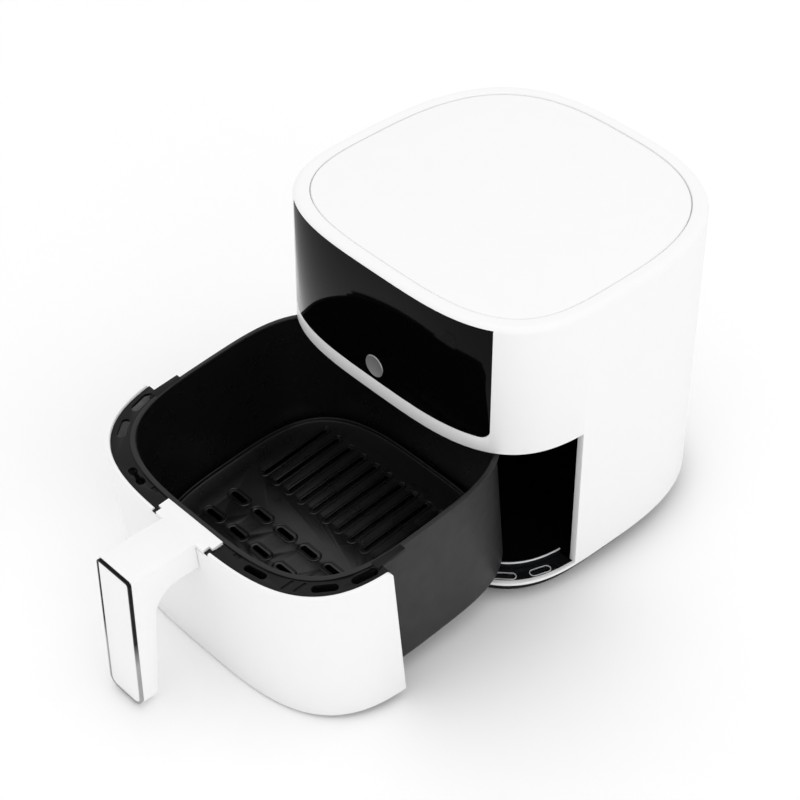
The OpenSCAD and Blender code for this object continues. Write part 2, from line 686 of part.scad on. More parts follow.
// ---- Drawer ----
module drawer_front() color("#f4f4f3") on_drawer() difference() {
  intersection() {
    band(0, front_t, front_z0, front_z1);
    ahead_of(front_edge_y, 0, body_h);
  }
  box(-grip_w / 2 - fit_gap, grip_w / 2 + fit_gap, body_front - 5, body_front + 12,
    handle_z1 - tongue_t - fit_gap, body_h);
  for (s = [-1, 1]) translate([s * grip_w / 4, body_front - 5, neck_z0 + neck_h / 2])
    rotate([-90, 0, 0]) cylinder(r = screw_r + 0.2, h = 20);
}

module drawer_trim() color("#1a1b1c") on_drawer() difference() {
  union() {
    intersection() {
      slab(front_t + fit_gap, trim_z0, trim_z1);
      ahead_of(front_edge_y - 0.2, 0, body_h);
    }
    intersection() {
      band(front_t + fit_gap, front_t + fit_gap + 2, trim_z0 - 8, trim_z0 + 1);
      ahead_of(front_edge_y - 6, 0, body_h);
      difference() {
        ahead_of(front_edge_y, 0, body_h);
        box(-grip_w, grip_w, -2 * body_d, body_front + 20, 0, body_h);
      }
    }
    for (s = [0, 1]) mirror([s, 0, 0])
      box(pan_half_w - 2, pan_half_w + 6, front_edge_y - 6, front_edge_y + 22, trim_z0, trim_z1);
  }
  pan_slab(0.4, trim_z0 - 10, trim_z1 + 1);
  corner_slots([-16.3, -37, -69], front_t + 9.5, 22, 6.5, trim_z0 - 1, trim_z1 + 1);
  box(-foot_w / 2 - fit_gap, foot_w / 2 + fit_gap, body_front - 1, body_front + 16.5,
    handle_z1 - tongue_t - fit_gap, body_h);
}

module drawer_floor() color("#1d1e20") on_drawer() difference() {
  intersection() {
    union() {
      slab(front_t + fit_gap, under_z, under_z + 2);
      band(front_t + fit_gap, front_t + fit_gap + 2, nose_z, under_z + 1);
    }
    ahead_of(front_edge_y - 0.2, 0, body_h);
  }
  pan_slab(0.4, under_z - 1, under_z + 5);
}

module side_cheeks() color("#1a1b1c") on_drawer() for (s = [0, 1]) mirror([s, 0, 0])
  difference() {
    intersection() {
      slab(front_t + fit_gap, under_z + 2.3, trim_z0 - 8.3);
      box(pan_half_w * 0.8, body_w, front_edge_y - 2.4, front_edge_y - 0.2, 0, body_h);
    }
    pan_slab(0.4, 0, body_h);
  }

module pan() color("#242527") on_drawer() difference() {
  union() {
    pan_slice(-pan_chamfer, -pan_lap, pan_z0, pan_z0 + pan_chamfer);
    pan_slab(0, pan_z0 + pan_chamfer - pan_lap, pan_z1);
    pan_slab(pan_rim_w, trim_z1 + fit_gap, pan_z1);
  }
  pan_slice(-pan_chamfer - pan_t, -pan_t - pan_lap, pan_z0 + pan_t, pan_z0 + pan_t + pan_chamfer);
  pan_slab(-pan_t, pan_z0 + pan_t + pan_chamfer - pan_lap, pan_z1 + 1);
}

module pan_clips() color("#b0b1b3") on_drawer() for (s = [-1, 1])
  translate([s * foot_w * 0.68, body_front + 12, trim_z0 - 6]) {
    cylinder(r = screw_r, h = 5.7);
    cylinder(r = head_r, h = 2);
  }

// The handle leans about the upper end of its root
function leaned(p) = [
  body_front + (p[0] - body_front) * cos(handle_lean) + (p[1] - handle_z1) * sin(handle_lean),
  handle_z1 - (p[0] - body_front) * sin(handle_lean) + (p[1] - handle_z1) * cos(handle_lean)
];

// The side of the handle: a neck, an upright grip and the curve between them
function handle_side() = concat(
  [[body_front - fit_gap, handle_z1]],
  [for (p = [[grip_front, handle_z1], [grip_front, grip_z], [grip_back - grip_taper, grip_z]]) leaned(p)],
  [for (a = [0 : 5 : 90]) leaned([grip_back + neck_h * (1 - cos(a)), neck_z0 - neck_h * (1 - sin(a))])],
  [[body_front - fit_gap, neck_z0]]
);

module lean() translate([0, body_front, handle_z1]) rotate([-handle_lean, 0, 0])
  translate([0, -body_front, -handle_z1]) children();

function corner_arc(x, z, r, start) = [for (a = [start : 10 : start + 90]) [x + r * cos(a), z + r * sin(a)]];

// The grip seen from the front
function grip_outline(inset, top_z = handle_z1) =
  let (w = grip_w / 2 - inset, z0 = grip_z + inset, z1 = top_z - inset, rt = grip_top_r - inset,
       rl = grip_low_r - inset)
    concat(corner_arc(w - rt, z1 - rt, rt, 0), corner_arc(rt - w, z1 - rt, rt, 90),
      corner_arc(rl - w, z0 + rl, rl, 180), corner_arc(w - rl, z0 + rl, rl, 270));

module grip_slab(back_y, depth, inset, top_z = handle_z1) lean() translate([0, back_y, 0])
  rotate([90, 0, 0]) linear_extrude(depth) polygon(grip_outline(inset, top_z));

module handle_body() color("#f8f8f8") on_drawer() difference() {
  union() {
    intersection() {
      translate([-grip_w / 2, 0, 0]) rotate([90, 0, 90]) linear_extrude(grip_w) polygon(handle_side());
      grip_slab(body_front + 5, 2 * finger_gap + grip_d, -0.02, handle_z1 + 2 * grip_top_r);
    }
    box(foot_step - grip_w / 2, grip_w / 2 - foot_step, body_front - 1, body_front + 8,
      handle_z1 - tongue_t, handle_z1 - foot_step);
    box(5 - foot_w / 2, foot_w / 2 - 5, body_front + front_t + fit_gap, body_front + 8,
      handle_z1 - tongue_t, handle_z1 - foot_step);
    box(-foot_w / 2, foot_w / 2, body_front + 7, body_front + 16, handle_z1 - tongue_t,
      handle_z1 - foot_step);
  }
  for (s = [-1, 1]) translate([s * grip_w / 4, body_front - 14, neck_z0 + neck_h / 2])
    rotate([-90, 0, 0]) cylinder(r = screw_r, h = 20);
}

module handle_plate() color("#a8aaac") on_drawer() difference() {
  box(-17, 17, body_front + front_t + fit_gap, body_front + front_t + 2.3, neck_z0 - 3,
    trim_z0 - fit_gap);
  for (s = [-1, 1]) translate([s * grip_w / 4, body_front, neck_z0 + neck_h / 2])
    rotate([-90, 0, 0]) cylinder(r = screw_r + 0.1, h = 20);
}

module handle_screws() color("#b8b8b8") on_drawer() for (s = [-1, 1])
  translate([s * grip_w / 4, body_front + front_t + 4.4, neck_z0 + neck_h / 2]) rotate([90, 0, 0])
    screw(15);

module grip_bezel() color("#d9dadc") on_drawer() difference() {
  grip_slab(grip_front - 0.1, bezel_t - 0.1, 0);
  grip_slab(grip_front + 1, bezel_t + 2, bezel_w);
}

module grip_insert() color("#fafafa") on_drawer() grip_slab(grip_front - 0.1, bezel_t - 0.5, bezel_w + 0.2);

// ---- Crisper plate ----
module crisper_plate() color("#1c1d1f") on_drawer() {
  grow = -pan_t - plate_gap;
  half_l = pan_l / 2 + grow;
  difference() {
    union() {
      pan_slab(grow, plate_z, plate_z + plate_t);
      difference() {
        pan_slab(grow, plate_z - 4, plate_z + plate_t + 3);
        pan_slab(grow - 1.6, plate_z - 5, plate_z + plate_t + 4);
      }
    }
    // long slots across the back half
    for (i = [-4 : 4]) translate([i * slot_pitch, pan_mid + half_l * 0.42, plate_z - 1])
      linear_extrude(plate_t + 2) rotate([0, 0, 90]) stadium(half_l * 0.62, slot_w);
    // short slots inside raised rings across the front half
    for (i = [-3 : 3], j = [0 : 2]) translate([i * ring_pitch, pan_mid - half_l * (0.18 + 0.24 * j), plate_z - 1])
      linear_extrude(plate_t + 2) stadium(18, slot_w);
  }
  for (i = [-3 : 3], j = [0 : 2]) translate([i * ring_pitch, pan_mid - half_l * (0.18 + 0.24 * j), plate_z + plate_t - eps])
    linear_extrude(1) difference() {
      stadium(25, slot_w + 7);
      stadium(22, slot_w + 4);
    }
}

module plate_bumpers() color("#37383a") on_drawer() for (sx = [-1, 1], sy = [-1, 1])
  translate([sx * bumper_x, pan_mid + sy * (pan_l / 2 - pan_t - plate_gap - bumper_in),
    plate_z - plate_rise + fit_gap])
      cylinder(r = bumper_r, h = plate_rise - fit_gap - 0.2);

outer_shell();
top_cover();
control_panel();
panel_badge();
display_module();
panel_board();
base_plate();
rubber_feet();
base_screws();
sill_tray();
glide_bar();
cavity_liner();
chamber_ceiling();
ceiling_screws();
heating_element();
element_seals();
heater_guard();
fan_housing();
insulation_wrap();
convection_fan();
motor_shaft();
fan_nut();
cooling_fan();
motor_stator();
motor_bracket();
motor_screws();
exhaust_duct();
rear_vent();
temp_probe();
thermal_fuse();
door_switch();
switch_plunger();
power_board();
board_posts();
terminal_block();
cord_gland();
drawer_front();
drawer_trim();
drawer_floor();
side_cheeks();
pan();
pan_clips();
handle_body();
handle_plate();
handle_screws();
grip_bezel();
grip_insert();
crisper_plate();
plate_bumpers();
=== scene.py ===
import json
import math

import bmesh
import bpy
from bpy.props import FloatProperty, FloatVectorProperty, IntProperty, PointerProperty
from mathutils import Matrix, Vector


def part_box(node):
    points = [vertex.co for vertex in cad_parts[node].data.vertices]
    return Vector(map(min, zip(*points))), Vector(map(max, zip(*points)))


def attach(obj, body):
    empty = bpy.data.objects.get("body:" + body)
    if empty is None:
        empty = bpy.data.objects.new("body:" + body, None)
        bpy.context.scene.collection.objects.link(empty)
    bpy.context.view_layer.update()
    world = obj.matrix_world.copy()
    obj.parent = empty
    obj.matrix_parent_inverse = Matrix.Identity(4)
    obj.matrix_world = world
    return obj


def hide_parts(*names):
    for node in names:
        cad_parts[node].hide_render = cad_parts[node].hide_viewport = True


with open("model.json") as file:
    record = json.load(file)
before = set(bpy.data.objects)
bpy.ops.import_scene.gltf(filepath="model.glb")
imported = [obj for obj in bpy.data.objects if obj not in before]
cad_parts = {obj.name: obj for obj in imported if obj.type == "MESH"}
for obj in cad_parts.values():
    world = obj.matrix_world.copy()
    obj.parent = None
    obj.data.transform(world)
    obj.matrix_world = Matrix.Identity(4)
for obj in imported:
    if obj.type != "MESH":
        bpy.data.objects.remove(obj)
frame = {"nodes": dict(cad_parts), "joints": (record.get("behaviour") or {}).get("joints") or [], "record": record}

bl_info = {
    "name": "Hot-air fryer",
    "version": (1, 0, 0),
    "blender": (4, 5, 0),
    "location": "View3D > Sidebar > Fryer",
    "description": "Builds the outer looks of a hot-air fryer round its packed frame",
    "category": "Object",
}

# Everything is drawn in millimetres with the drawer closed, then put in its place in metres.
MM = 0.001
OUTLINE_POINTS = 256
# The points that an outline is drawn with before it is spaced evenly.
FINE_POINTS = 1440
# Beyond every part: how far the blocks that cut and keep reach.
FAR = 400
# Slots of the sill: place round the corner in degrees, and length.
SILL_SLOTS = ((-21.5, 18), (-42, 22))
SILL_SLOT_INSET = 8.0
SILL_SLOT_WIDTH = 6.6
# Slots at the sides of the trim: place round the corner in degrees, inset, length and width.
TRIM_SLOTS = ((-16.5, 11.0, 22, 7.8), (-36.0, 11.0, 21, 7.4))
# Slots of the trim beside the handle: place round the corner in degrees, and inset.
NEAR_SLOT = (-70.5, 11.5)
# Half the width of the notch that the handle comes through.
NOTCH = 29.3
# Radius of the bend between the floor and the wall of the pan.
PAN_BEND = 8
PLATE_THICK = 2
LONG_SLOT_STEP = 16
SHORT_SLOT_STEP = 30
SLATS = 6
SLAT_TURN = -30
SCREW_RADIUS = 3.5


# ---- Places that come from the frame ----
def joint(name):
    return next(j for j in frame["joints"] if j["name"] == name)


def box_mm(node):
    low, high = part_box(node)
    return low / MM, high / MM


SHELL_LOW, SHELL_HIGH = box_mm("outer_shell")
HALF_W = SHELL_HIGH.x
HALF_D = (SHELL_HIGH.y - SHELL_LOW.y) / 2
FRAME_Y = (SHELL_HIGH.y + SHELL_LOW.y) / 2
SHELL_TOP = SHELL_HIGH.z
SHELL_BOTTOM = SHELL_LOW.z
FRONT_Y = -HALF_D
BACK_Y = HALF_D

ON_BODY = Matrix.Translation((0, FRAME_Y * MM, 0)) @ Matrix.Scale(MM, 4)
_slide = joint("drawer_slide")
TIP = math.asin(-_slide["axis"][2])
PULL = -_slide["range_m"][0]
_pivot = Vector(joint("drawer_tip")["pos_m"])
ON_DRAWER = (
    Matrix.Translation(_pivot)
    @ Matrix.Rotation(TIP, 4, "X")
    @ Matrix.Translation((0, -PULL + FRAME_Y * MM - _pivot.y, -_pivot.z))
    @ Matrix.Scale(MM, 4)
)


# ---- Settings ----
def length(name, description, default, low=0.0):
    return FloatProperty(
        name=name, description=description, default=default, min=low, unit="LENGTH", subtype="DISTANCE"
    )


class FryerHousingSettings(bpy.types.PropertyGroup):
    widest: length("Widest line", "Distance from the front to the widest line", 0.123)
    front_square: FloatProperty(
        name="Front squareness", description="Squareness of the front half", default=3.4,
    )
    back_square: FloatProperty(
        name="Back squareness", description="Squareness of the back half", default=2.9,
    )
    wall: length("Wall", "Thickness of the outer shell", 0.0032)
    rim_radius: length("Rim radius", "Radius of the rounded rim", 0.005)
    cover_inset: length("Cover inset", "Width of the rim round the top cover", 0.012)
    crown: length("Crown", "Rise of the top cover", 0.0025)
    crown_run: length("Crown run", "How far in from its edge the cover still rises", 0.06)
    panel_corner: length("Panel corner", "Radius of the lower corners of the panel", 0.008)
    opening_low: length("Opening bottom", "Height of the lower edge of the opening", 0.0205)
    opening_high: length("Opening top", "Height of the upper edge of the opening", 0.1625)
    opening_wrap: length("Opening wrap", "How far back the opening wraps round the sides", 0.087)
    return_width: length("Return width", "Width of the return beside the opening", 0.006)
    sill_width: length("Sill width", "Distance from the front to the ridge of the sill", 0.017)


class FryerDrawerSettings(bpy.types.PropertyGroup):
    low: length("Bottom", "Height of the lower edge of the drawer front", 0.0215)
    high: length("Top", "Height of the upper edge of the drawer front", 0.1605)
    wall: length("Wall", "Thickness of the drawer front", 0.003)
    corner: length("Corner", "Radius of the upper corners of the drawer front", 0.006)
    lip: length("Lip", "Height that the white lip stands above the trim", 0.0024)
    trim: length("Trim", "Thickness of the trim", 0.0025)
    pan_half_width: length("Pan half width", "Half width of the pan", 0.132)
    pan_setback: length("Pan setback", "Distance from the front to the pan", 0.020)
    pan_length: length("Pan length", "Length of the pan", 0.235)
    pan_square: FloatProperty(
        name="Pan squareness", description="Squareness of the pan outline", default=3.5,
    )
    pan_rim: length("Pan rim", "Width of the rolled rim of the pan", 0.003)
    plate_gap: length("Plate gap", "Gap round the crisper plate", 0.0025)
    plate_rise: length("Plate rise", "Height of the crisper plate above the floor of the pan", 0.012)


class FryerHandleSettings(bpy.types.PropertyGroup):
    width: length("Width", "Width of the handle", 0.040)
    depth: length("Depth", "Depth of the upright grip", 0.019)
    finger_gap: length("Finger gap", "Room for the fingers behind the grip", 0.042)
    neck: length("Neck", "Height of the neck", 0.025)
    low: length("Lower end", "Height of the lower end of the grip before the handle leans", 0.024)
    lean: FloatProperty(
        name="Lean", description="Lean that stands the grip upright", default=math.radians(5.6),
        subtype="ANGLE",
    )
    taper: length("Taper", "How much thinner the grip is at its lower end", 0.006)
    low_corner: length("Lower corners", "Radius of the lower corners of the grip", 0.009)
    top_corner: length("Upper corners", "Radius of the upper corners of the grip", 0.004)
    foot: length("Foot", "Width of the foot on the trim", 0.066)
    bezel: length("Bezel", "Width of the bright bezel", 0.002)
    rib_count: IntProperty(name="Ribs", description="Ribs under the neck", default=2, min=1)


class FryerStageSettings(bpy.types.PropertyGroup):
    camera_at: FloatVectorProperty(
        name="Camera", description="Place of the camera", size=3, default=(1.0434, -0.9475, 1.3549),
        unit="LENGTH", subtype="TRANSLATION",
    )
    lens: FloatProperty(
        name="Lens", description="Focal length of the camera in millimetres", default=102.85,
    )
    floor_size: length("Floor", "Width of the floor", 12.0)
    sky: FloatProperty(name="Sky", description="Brightness of the surroundings", default=0.9)


# ---- Outlines ----
def signed_power(value, power):
    return math.copysign(abs(value) ** power, value)


def evenly(points, count):
    """The same closed line with points at even distances."""
    steps = [(Vector(points[(i + 1) % len(points)]) - Vector(p)).length for i, p in enumerate(points)]
    total = sum(steps)
    out, i, done = [], 0, 0.0
    for k in range(count):
        target = total * k / count
        while done + steps[i] < target:
            done += steps[i]
            i += 1
        t = (target - done) / steps[i]
        a, b = points[i], points[(i + 1) % len(points)]
        out.append((a[0] + (b[0] - a[0]) * t, a[1] + (b[1] - a[1]) * t))
    return out


def oval(half_w, reach_front, reach_back, mid_y, square_front, square_back, count=OUTLINE_POINTS):
    points = []
    for i in range(FINE_POINTS):
        t = 2 * math.pi * i / FINE_POINTS
        front = math.sin(t) < 0
        n = square_front if front else square_back
        reach = reach_front if front else reach_back
        points.append(
            (half_w * signed_power(math.cos(t), 2 / n), mid_y + reach * signed_power(math.sin(t), 2 / n))
        )
    return evenly(points, count)


def body_outline(inset, count=OUTLINE_POINTS):
    s = bpy.context.scene.fryer_housing
    widest = s.widest / MM
    return oval(
        HALF_W - inset, widest - inset, 2 * HALF_D - widest - inset, FRONT_Y + widest,
        s.front_square, s.back_square, count,
    )


def pan_middle():
    s = bpy.context.scene.fryer_drawer
    return FRONT_Y + s.pan_setback / MM + s.pan_length / MM / 2


def pan_outline(grow, count=OUTLINE_POINTS):
    s = bpy.context.scene.fryer_drawer
    half_l = s.pan_length / MM / 2 + grow
    return oval(
        s.pan_half_width / MM + grow, half_l, half_l, pan_middle(), s.pan_square, s.pan_square, count,
    )


def rounded_rectangle(x0, x1, y0, y1, radii, steps=8):
    """Counter-clockwise from the lower left corner; so are the four radii."""
    out = []
    corners = [(x0, y0, 1, 1, 180), (x1, y0, -1, 1, 270), (x1, y1, -1, -1, 0), (x0, y1, 1, -1, 90)]
    for (x, y, sx, sy, start), r in zip(corners, radii):
        if r <= 0:
            out.append((x, y))
            continue
        for k in range(steps + 1):
            a = math.radians(start + 90 * k / steps)
            out.append((x + sx * r + r * math.cos(a), y + sy * r + r * math.sin(a)))
    return out


def stadium(long, wide, steps=10):
    return rounded_rectangle(-long / 2, long / 2, -wide / 2, wide / 2, [wide / 2 - 0.001] * 4, steps)


# ---- Solids ----
def make_object(vertices, faces):
    mesh = bpy.data.meshes.new("work")
    mesh.from_pydata([tuple(v) for v in vertices], [], faces)
    obj = bpy.data.objects.new("work", mesh)
    bpy.context.scene.collection.objects.link(obj)
    tidy_mesh(obj)
    return obj


def tidy_mesh(obj):
    """Joins doubled points and turns every face outwards."""
    form = bmesh.new()
    form.from_mesh(obj.data)
    bmesh.ops.remove_doubles(form, verts=form.verts, dist=0.0005)
    bmesh.ops.recalc_face_normals(form, faces=form.faces)
    form.to_mesh(obj.data)
    form.free()


def loft(rings, cyclic=False):
    n = len(rings[0])
    vertices = [p for ring in rings for p in ring]
    faces = []
    for i in range(len(rings) if cyclic else len(rings) - 1):
        a, b = i * n, (i + 1) % len(rings) * n
        faces += [(a + j, a + (j + 1) % n, b + (j + 1) % n, b + j) for j in range(n)]
    if not cyclic:
        faces.append(tuple(reversed(range(n))))
        faces.append(tuple(range((len(rings) - 1) * n, len(rings) * n)))
    return make_object(vertices, faces)


def body_loft(profile, cyclic=False):
    """A solid whose outline follows the body; the profile lists (inset, height)."""
    return loft([[(x, y, z) for x, y in body_outline(inset)] for inset, z in profile], cyclic)


def pan_loft(profile, cyclic=False):
    """A solid whose outline follows the pan; the profile lists (grow, height)."""
    return loft([[(x, y, z) for x, y in pan_outline(grow)] for grow, z in profile], cyclic)


def prism(points, low, high, axis="Z"):
    """A flat shape made solid from low to high along an axis."""
    if axis == "Z":
        rings = [[(a, b, h) for a, b in points] for h in (low, high)]
    elif axis == "Y":
        rings = [[(a, h, b) for a, b in points] for h in (low, high)]
    else:
        rings = [[(h, a, b) for a, b in points] for h in (low, high)]
    return loft(rings)


def block(x0, x1, y0, y1, z0, z1):
    return prism([(x0, y0), (x1, y0), (x1, y1), (x0, y1)], z0, z1)


def side_block(side, near, far, *rest):
    """A block between two distances from the middle, on one side or the other."""
    x0, x1 = sorted((side * near, side * far))
    return block(x0, x1, *rest)


def lathe(profile, steps=48, turn=None, at=(0, 0, 0)):
    """A turned solid with flat ends; the profile lists (radius, height)."""
    rings = [
        [
            (r * math.cos(2 * math.pi * k / steps), r * math.sin(2 * math.pi * k / steps), z)
            for k in range(steps)
        ]
        for r, z in profile
    ]
    obj = loft(rings)
    if turn:
        obj.data.transform(turn)
    obj.data.transform(Matrix.Translation(at))
    return obj


def discard(obj):
    mesh = obj.data
    bpy.data.objects.remove(obj)
    bpy.data.meshes.remove(mesh)


def apply_modifiers(obj):
    bpy.context.view_layer.update()
    graph = bpy.context.evaluated_depsgraph_get()
    mesh = bpy.data.meshes.new_from_object(obj.evaluated_get(graph))
    old = obj.data
    obj.modifiers.clear()
    obj.data = mesh
    bpy.data.meshes.remove(old)


def combine(obj, others, operation):
    for other in others:
        modifier = obj.modifiers.new("combine", "BOOLEAN")
        modifier.operation = operation
        modifier.solver = "EXACT"
        modifier.object = other
        apply_modifiers(obj)
        discard(other)
    return obj


def cut(obj, *others):
    return combine(obj, others, "DIFFERENCE")


def add(obj, *others):
    return combine(obj, others, "UNION")


def keep(obj, *others):
    return combine(obj, others, "INTERSECT")


def soften(obj, radius, segments=2, angle=38):
    """Rounds every edge that turns by more than the angle."""
    tidy_mesh(obj)
    modifier = obj.modifiers.new("soften", "BEVEL")
    modifier.width = radius
    modifier.segments = segments
    modifier.limit_method = "ANGLE"
    modifier.angle_limit = math.radians(angle)
    modifier.use_clamp_overlap = True
    apply_modifiers(obj)
    return obj


def piece(obj, name, material, body, nodes=(), place=ON_BODY, smooth=40):
    """Puts a finished solid in its place and ties it to the body it moves with."""
    obj.name = name
    obj.data.name = name
    obj.data.transform(place)
    if material:
        obj.data.materials.clear()
        obj.data.materials.append(material)
    if smooth:
        obj.data.shade_smooth()
        obj.data.set_sharp_from_angle(angle=math.radians(smooth))
    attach(obj, body)
    if nodes:
        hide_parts(*nodes)
    return obj


# ---- Materials ----
def surface(
    name, color, roughness, metallic=0.0, spread=0.03, scale=60.0, bump=0.0, shine=0.5, grain=None,
    tint=None, painted_reflection_heights=None,
):
    """A finish that varies a little over the surface: spread is how much the color and the roughness vary,
    and painted_reflection_heights, two heights, turns the color into the tint between them, which paints a
    reflection."""
    found = bpy.data.materials.get(name)
    if found:
        return found
    material = bpy.data.materials.new(name)
    material.use_nodes = True
    nodes, links = material.node_tree.nodes, material.node_tree.links
    shader = nodes["Principled BSDF"]
    shader.inputs["Metallic"].default_value = metallic
    shader.inputs["Specular IOR Level"].default_value = shine
    coords = nodes.new("ShaderNodeTexCoord")
    mapping = nodes.new("ShaderNodeMapping")
    mapping.inputs["Scale"].default_value = grain or (1.0, 1.0, 1.0)
    noise = nodes.new("ShaderNodeTexNoise")
    noise.inputs["Scale"].default_value = scale
    noise.inputs["Detail"].default_value = 6.0
    links.new(coords.outputs["Object"], mapping.inputs["Vector"])
    links.new(mapping.outputs["Vector"], noise.inputs["Vector"])
    mix = nodes.new("ShaderNodeMix")
    mix.data_type = "RGBA"
    darker = [max(0.0, c * (1 - spread)) for c in color]
    lighter = [min(1.0, c * (1 + spread)) for c in (tint or color)]
    mix.inputs["A"].default_value = (*darker, 1)
    mix.inputs["B"].default_value = (*lighter, 1)
    # Painted reflection: the color turns into the tint between the two heights.
    if painted_reflection_heights:
        position = nodes.new("ShaderNodeSeparateXYZ")
        band = nodes.new("ShaderNodeMapRange")
        band.inputs["From Min"].default_value, band.inputs["From Max"].default_value = painted_reflection_heights
        links.new(coords.outputs["Object"], position.inputs["Vector"])
        links.new(position.outputs["Z"], band.inputs["Value"])
        links.new(band.outputs["Result"], mix.inputs["Factor"])
    else:
        links.new(noise.outputs["Fac"], mix.inputs["Factor"])
    links.new(mix.outputs["Result"], shader.inputs["Base Color"])
    rough = nodes.new("ShaderNodeMapRange")
    rough.inputs["From Min"].default_value = 0.3
    rough.inputs["From Max"].default_value = 0.7
    rough.inputs["To Min"].default_value = max(0.0, roughness * (1 - 4 * spread))
    rough.inputs["To Max"].default_value = min(1.0, roughness * (1 + 4 * spread))
    links.new(noise.outputs["Fac"], rough.inputs["Value"])
    links.new(rough.outputs["Result"], shader.inputs["Roughness"])
    if bump:
        fine = nodes.new("ShaderNodeTexNoise")
        fine.inputs["Scale"].default_value = 2200.0
        fine.inputs["Detail"].default_value = 2.0
        links.new(mapping.outputs["Vector"], fine.inputs["Vector"])
        height = nodes.new("ShaderNodeBump")
        height.inputs["Strength"].default_value = bump
        height.inputs["Distance"].default_value = 0.0002
        links.new(fine.outputs["Fac"], height.inputs["Height"])
        links.new(height.outputs["Normal"], shader.inputs["Normal"])
    return material


FINISHES = {
    "shell_white": dict(color=(0.92, 0.92, 0.918), roughness=0.42, spread=0.01, bump=0.05),
    "panel_black": dict(
        color=(0.0012, 0.0012, 0.0014), roughness=0.05, spread=0.05, scale=8.0, shine=0.09,
    ),
    "badge_silver": dict(color=(0.5, 0.5, 0.5), roughness=0.3, metallic=0.6, grain=(1, 1, 30)),
    "display_dark": dict(color=(0.02, 0.026, 0.03), roughness=0.2),
    "circuit_green": dict(color=(0.03, 0.16, 0.07), roughness=0.4, spread=0.2, scale=400),
    "base_black": dict(color=(0.006, 0.0065, 0.008), roughness=0.3, spread=0.05, bump=0.08, shine=0.18),
    "foot_rubber": dict(color=(0.012, 0.012, 0.012), roughness=0.85, bump=0.3),
    "screw_steel": dict(color=(0.6, 0.6, 0.6), roughness=0.3, metallic=1.0, scale=300),
    "glide_steel": dict(color=(0.66, 0.67, 0.68), roughness=0.2, metallic=1.0, grain=(40, 1, 1)),
    "liner_black": dict(color=(0.002, 0.002, 0.0025), roughness=0.36, spread=0.06, bump=0.1, shine=0.08),
    "sheet_metal": dict(
        color=(0.62, 0.63, 0.64), roughness=0.36, metallic=1.0, spread=0.05, grain=(1, 20, 1),
    ),
    "element_steel": dict(
        color=(0.2, 0.18, 0.16), roughness=0.46, metallic=0.9, spread=0.2, scale=40,
        tint=(0.26, 0.2, 0.15),
    ),
    "ceramic_white": dict(color=(0.8, 0.78, 0.7), roughness=0.6, bump=0.2),
    "guard_chrome": dict(color=(0.72, 0.73, 0.74), roughness=0.14, metallic=1.0, scale=120),
    "insulation_felt": dict(color=(0.66, 0.62, 0.5), roughness=0.95, spread=0.1, scale=700, bump=1.0),
    "fan_black": dict(color=(0.03, 0.03, 0.033), roughness=0.5),
    "motor_steel": dict(color=(0.35, 0.36, 0.37), roughness=0.35, metallic=1.0, grain=(1, 1, 30)),
    "nut_brass": dict(color=(0.72, 0.53, 0.24), roughness=0.28, metallic=1.0),
    "plunger_white": dict(color=(0.88, 0.88, 0.86), roughness=0.4),
    "drawer_black": dict(color=(0.006, 0.006, 0.0065), roughness=0.36, spread=0.06, bump=0.15, shine=0.15),
    "pan_coating": dict(color=(0.022, 0.022, 0.023), roughness=0.42, spread=0.03, bump=0.12, shine=0.18),
    "plate_coating": dict(color=(0.006, 0.006, 0.0065), roughness=0.3, spread=0.04, bump=0.1, shine=0.5),
    "handle_white": dict(color=(0.93, 0.93, 0.928), roughness=0.3, spread=0.01),
    # Painted highlight: a light grey for the strips that stand in for highlights on the sill's ridge and on the
    # rims of its slots.
    "painted_highlight_edge": dict(color=(0.8, 0.82, 0.83), roughness=0.25, metallic=0.2),
    # Painted reflection: the chrome turns near black from 0.05 to 0.075 m up, a dark reflection painted on the
    # upper part of the bezel.
    "bezel_chrome": dict(
        color=(0.4, 0.4, 0.41), roughness=0.1, metallic=1.0, tint=(0.012, 0.012, 0.013),
        painted_reflection_heights=(0.05, 0.075),
    ),
}


def finish_of(name):
    """The finish has a name of its own, apart from the frame's plain material of the same slot."""
    return surface(name + "_finish", **FINISHES[name])


# ---- Repeats made with geometry nodes ----
def new_tree(name, inputs):
    """A node tree that takes points, the inputs listed as (label, type, default), and a material."""
    tree = bpy.data.node_groups.new(name, "GeometryNodeTree")
    face = tree.interface
    face.new_socket("Geometry", in_out="OUTPUT", socket_type="NodeSocketGeometry")
    face.new_socket("Points", in_out="INPUT", socket_type="NodeSocketGeometry")
    for label, kind, default in inputs:
        face.new_socket(label, in_out="INPUT", socket_type=kind).default_value = default
    face.new_socket("Material", in_out="INPUT", socket_type="NodeSocketMaterial")
    return tree, tree.nodes.new("NodeGroupInput"), tree.nodes.new("NodeGroupOutput")


def end_tree(tree, start, end, last):
    """Realizes the instances and sets the material."""
    realize = tree.nodes.new("GeometryNodeRealizeInstances")
    paint = tree.nodes.new("GeometryNodeSetMaterial")
    tree.links.new(last, realize.inputs["Geometry"])
    tree.links.new(realize.outputs["Geometry"], paint.inputs["Geometry"])
    tree.links.new(start.outputs["Material"], paint.inputs["Material"])
    tree.links.new(paint.outputs["Geometry"], end.inputs["Geometry"])


def run_tree(tree, points, values, material):
    """Runs a tree on a set of points and gives the plain mesh that comes out."""
    mesh = bpy.data.meshes.new("points")
    mesh.from_pydata([tuple(p) for p in points], [], [])
    obj = bpy.data.objects.new("points", mesh)
    bpy.context.scene.collection.objects.link(obj)
    modifier = obj.modifiers.new("repeat", "NODES")
    modifier.node_group = tree
    for item in tree.interface.items_tree:
        if item.in_out == "INPUT" and item.name in values:
            modifier[item.identifier] = values[item.name]
        elif item.in_out == "INPUT" and item.name == "Material":
            modifier[item.identifier] = material
    apply_modifiers(obj)
    return obj


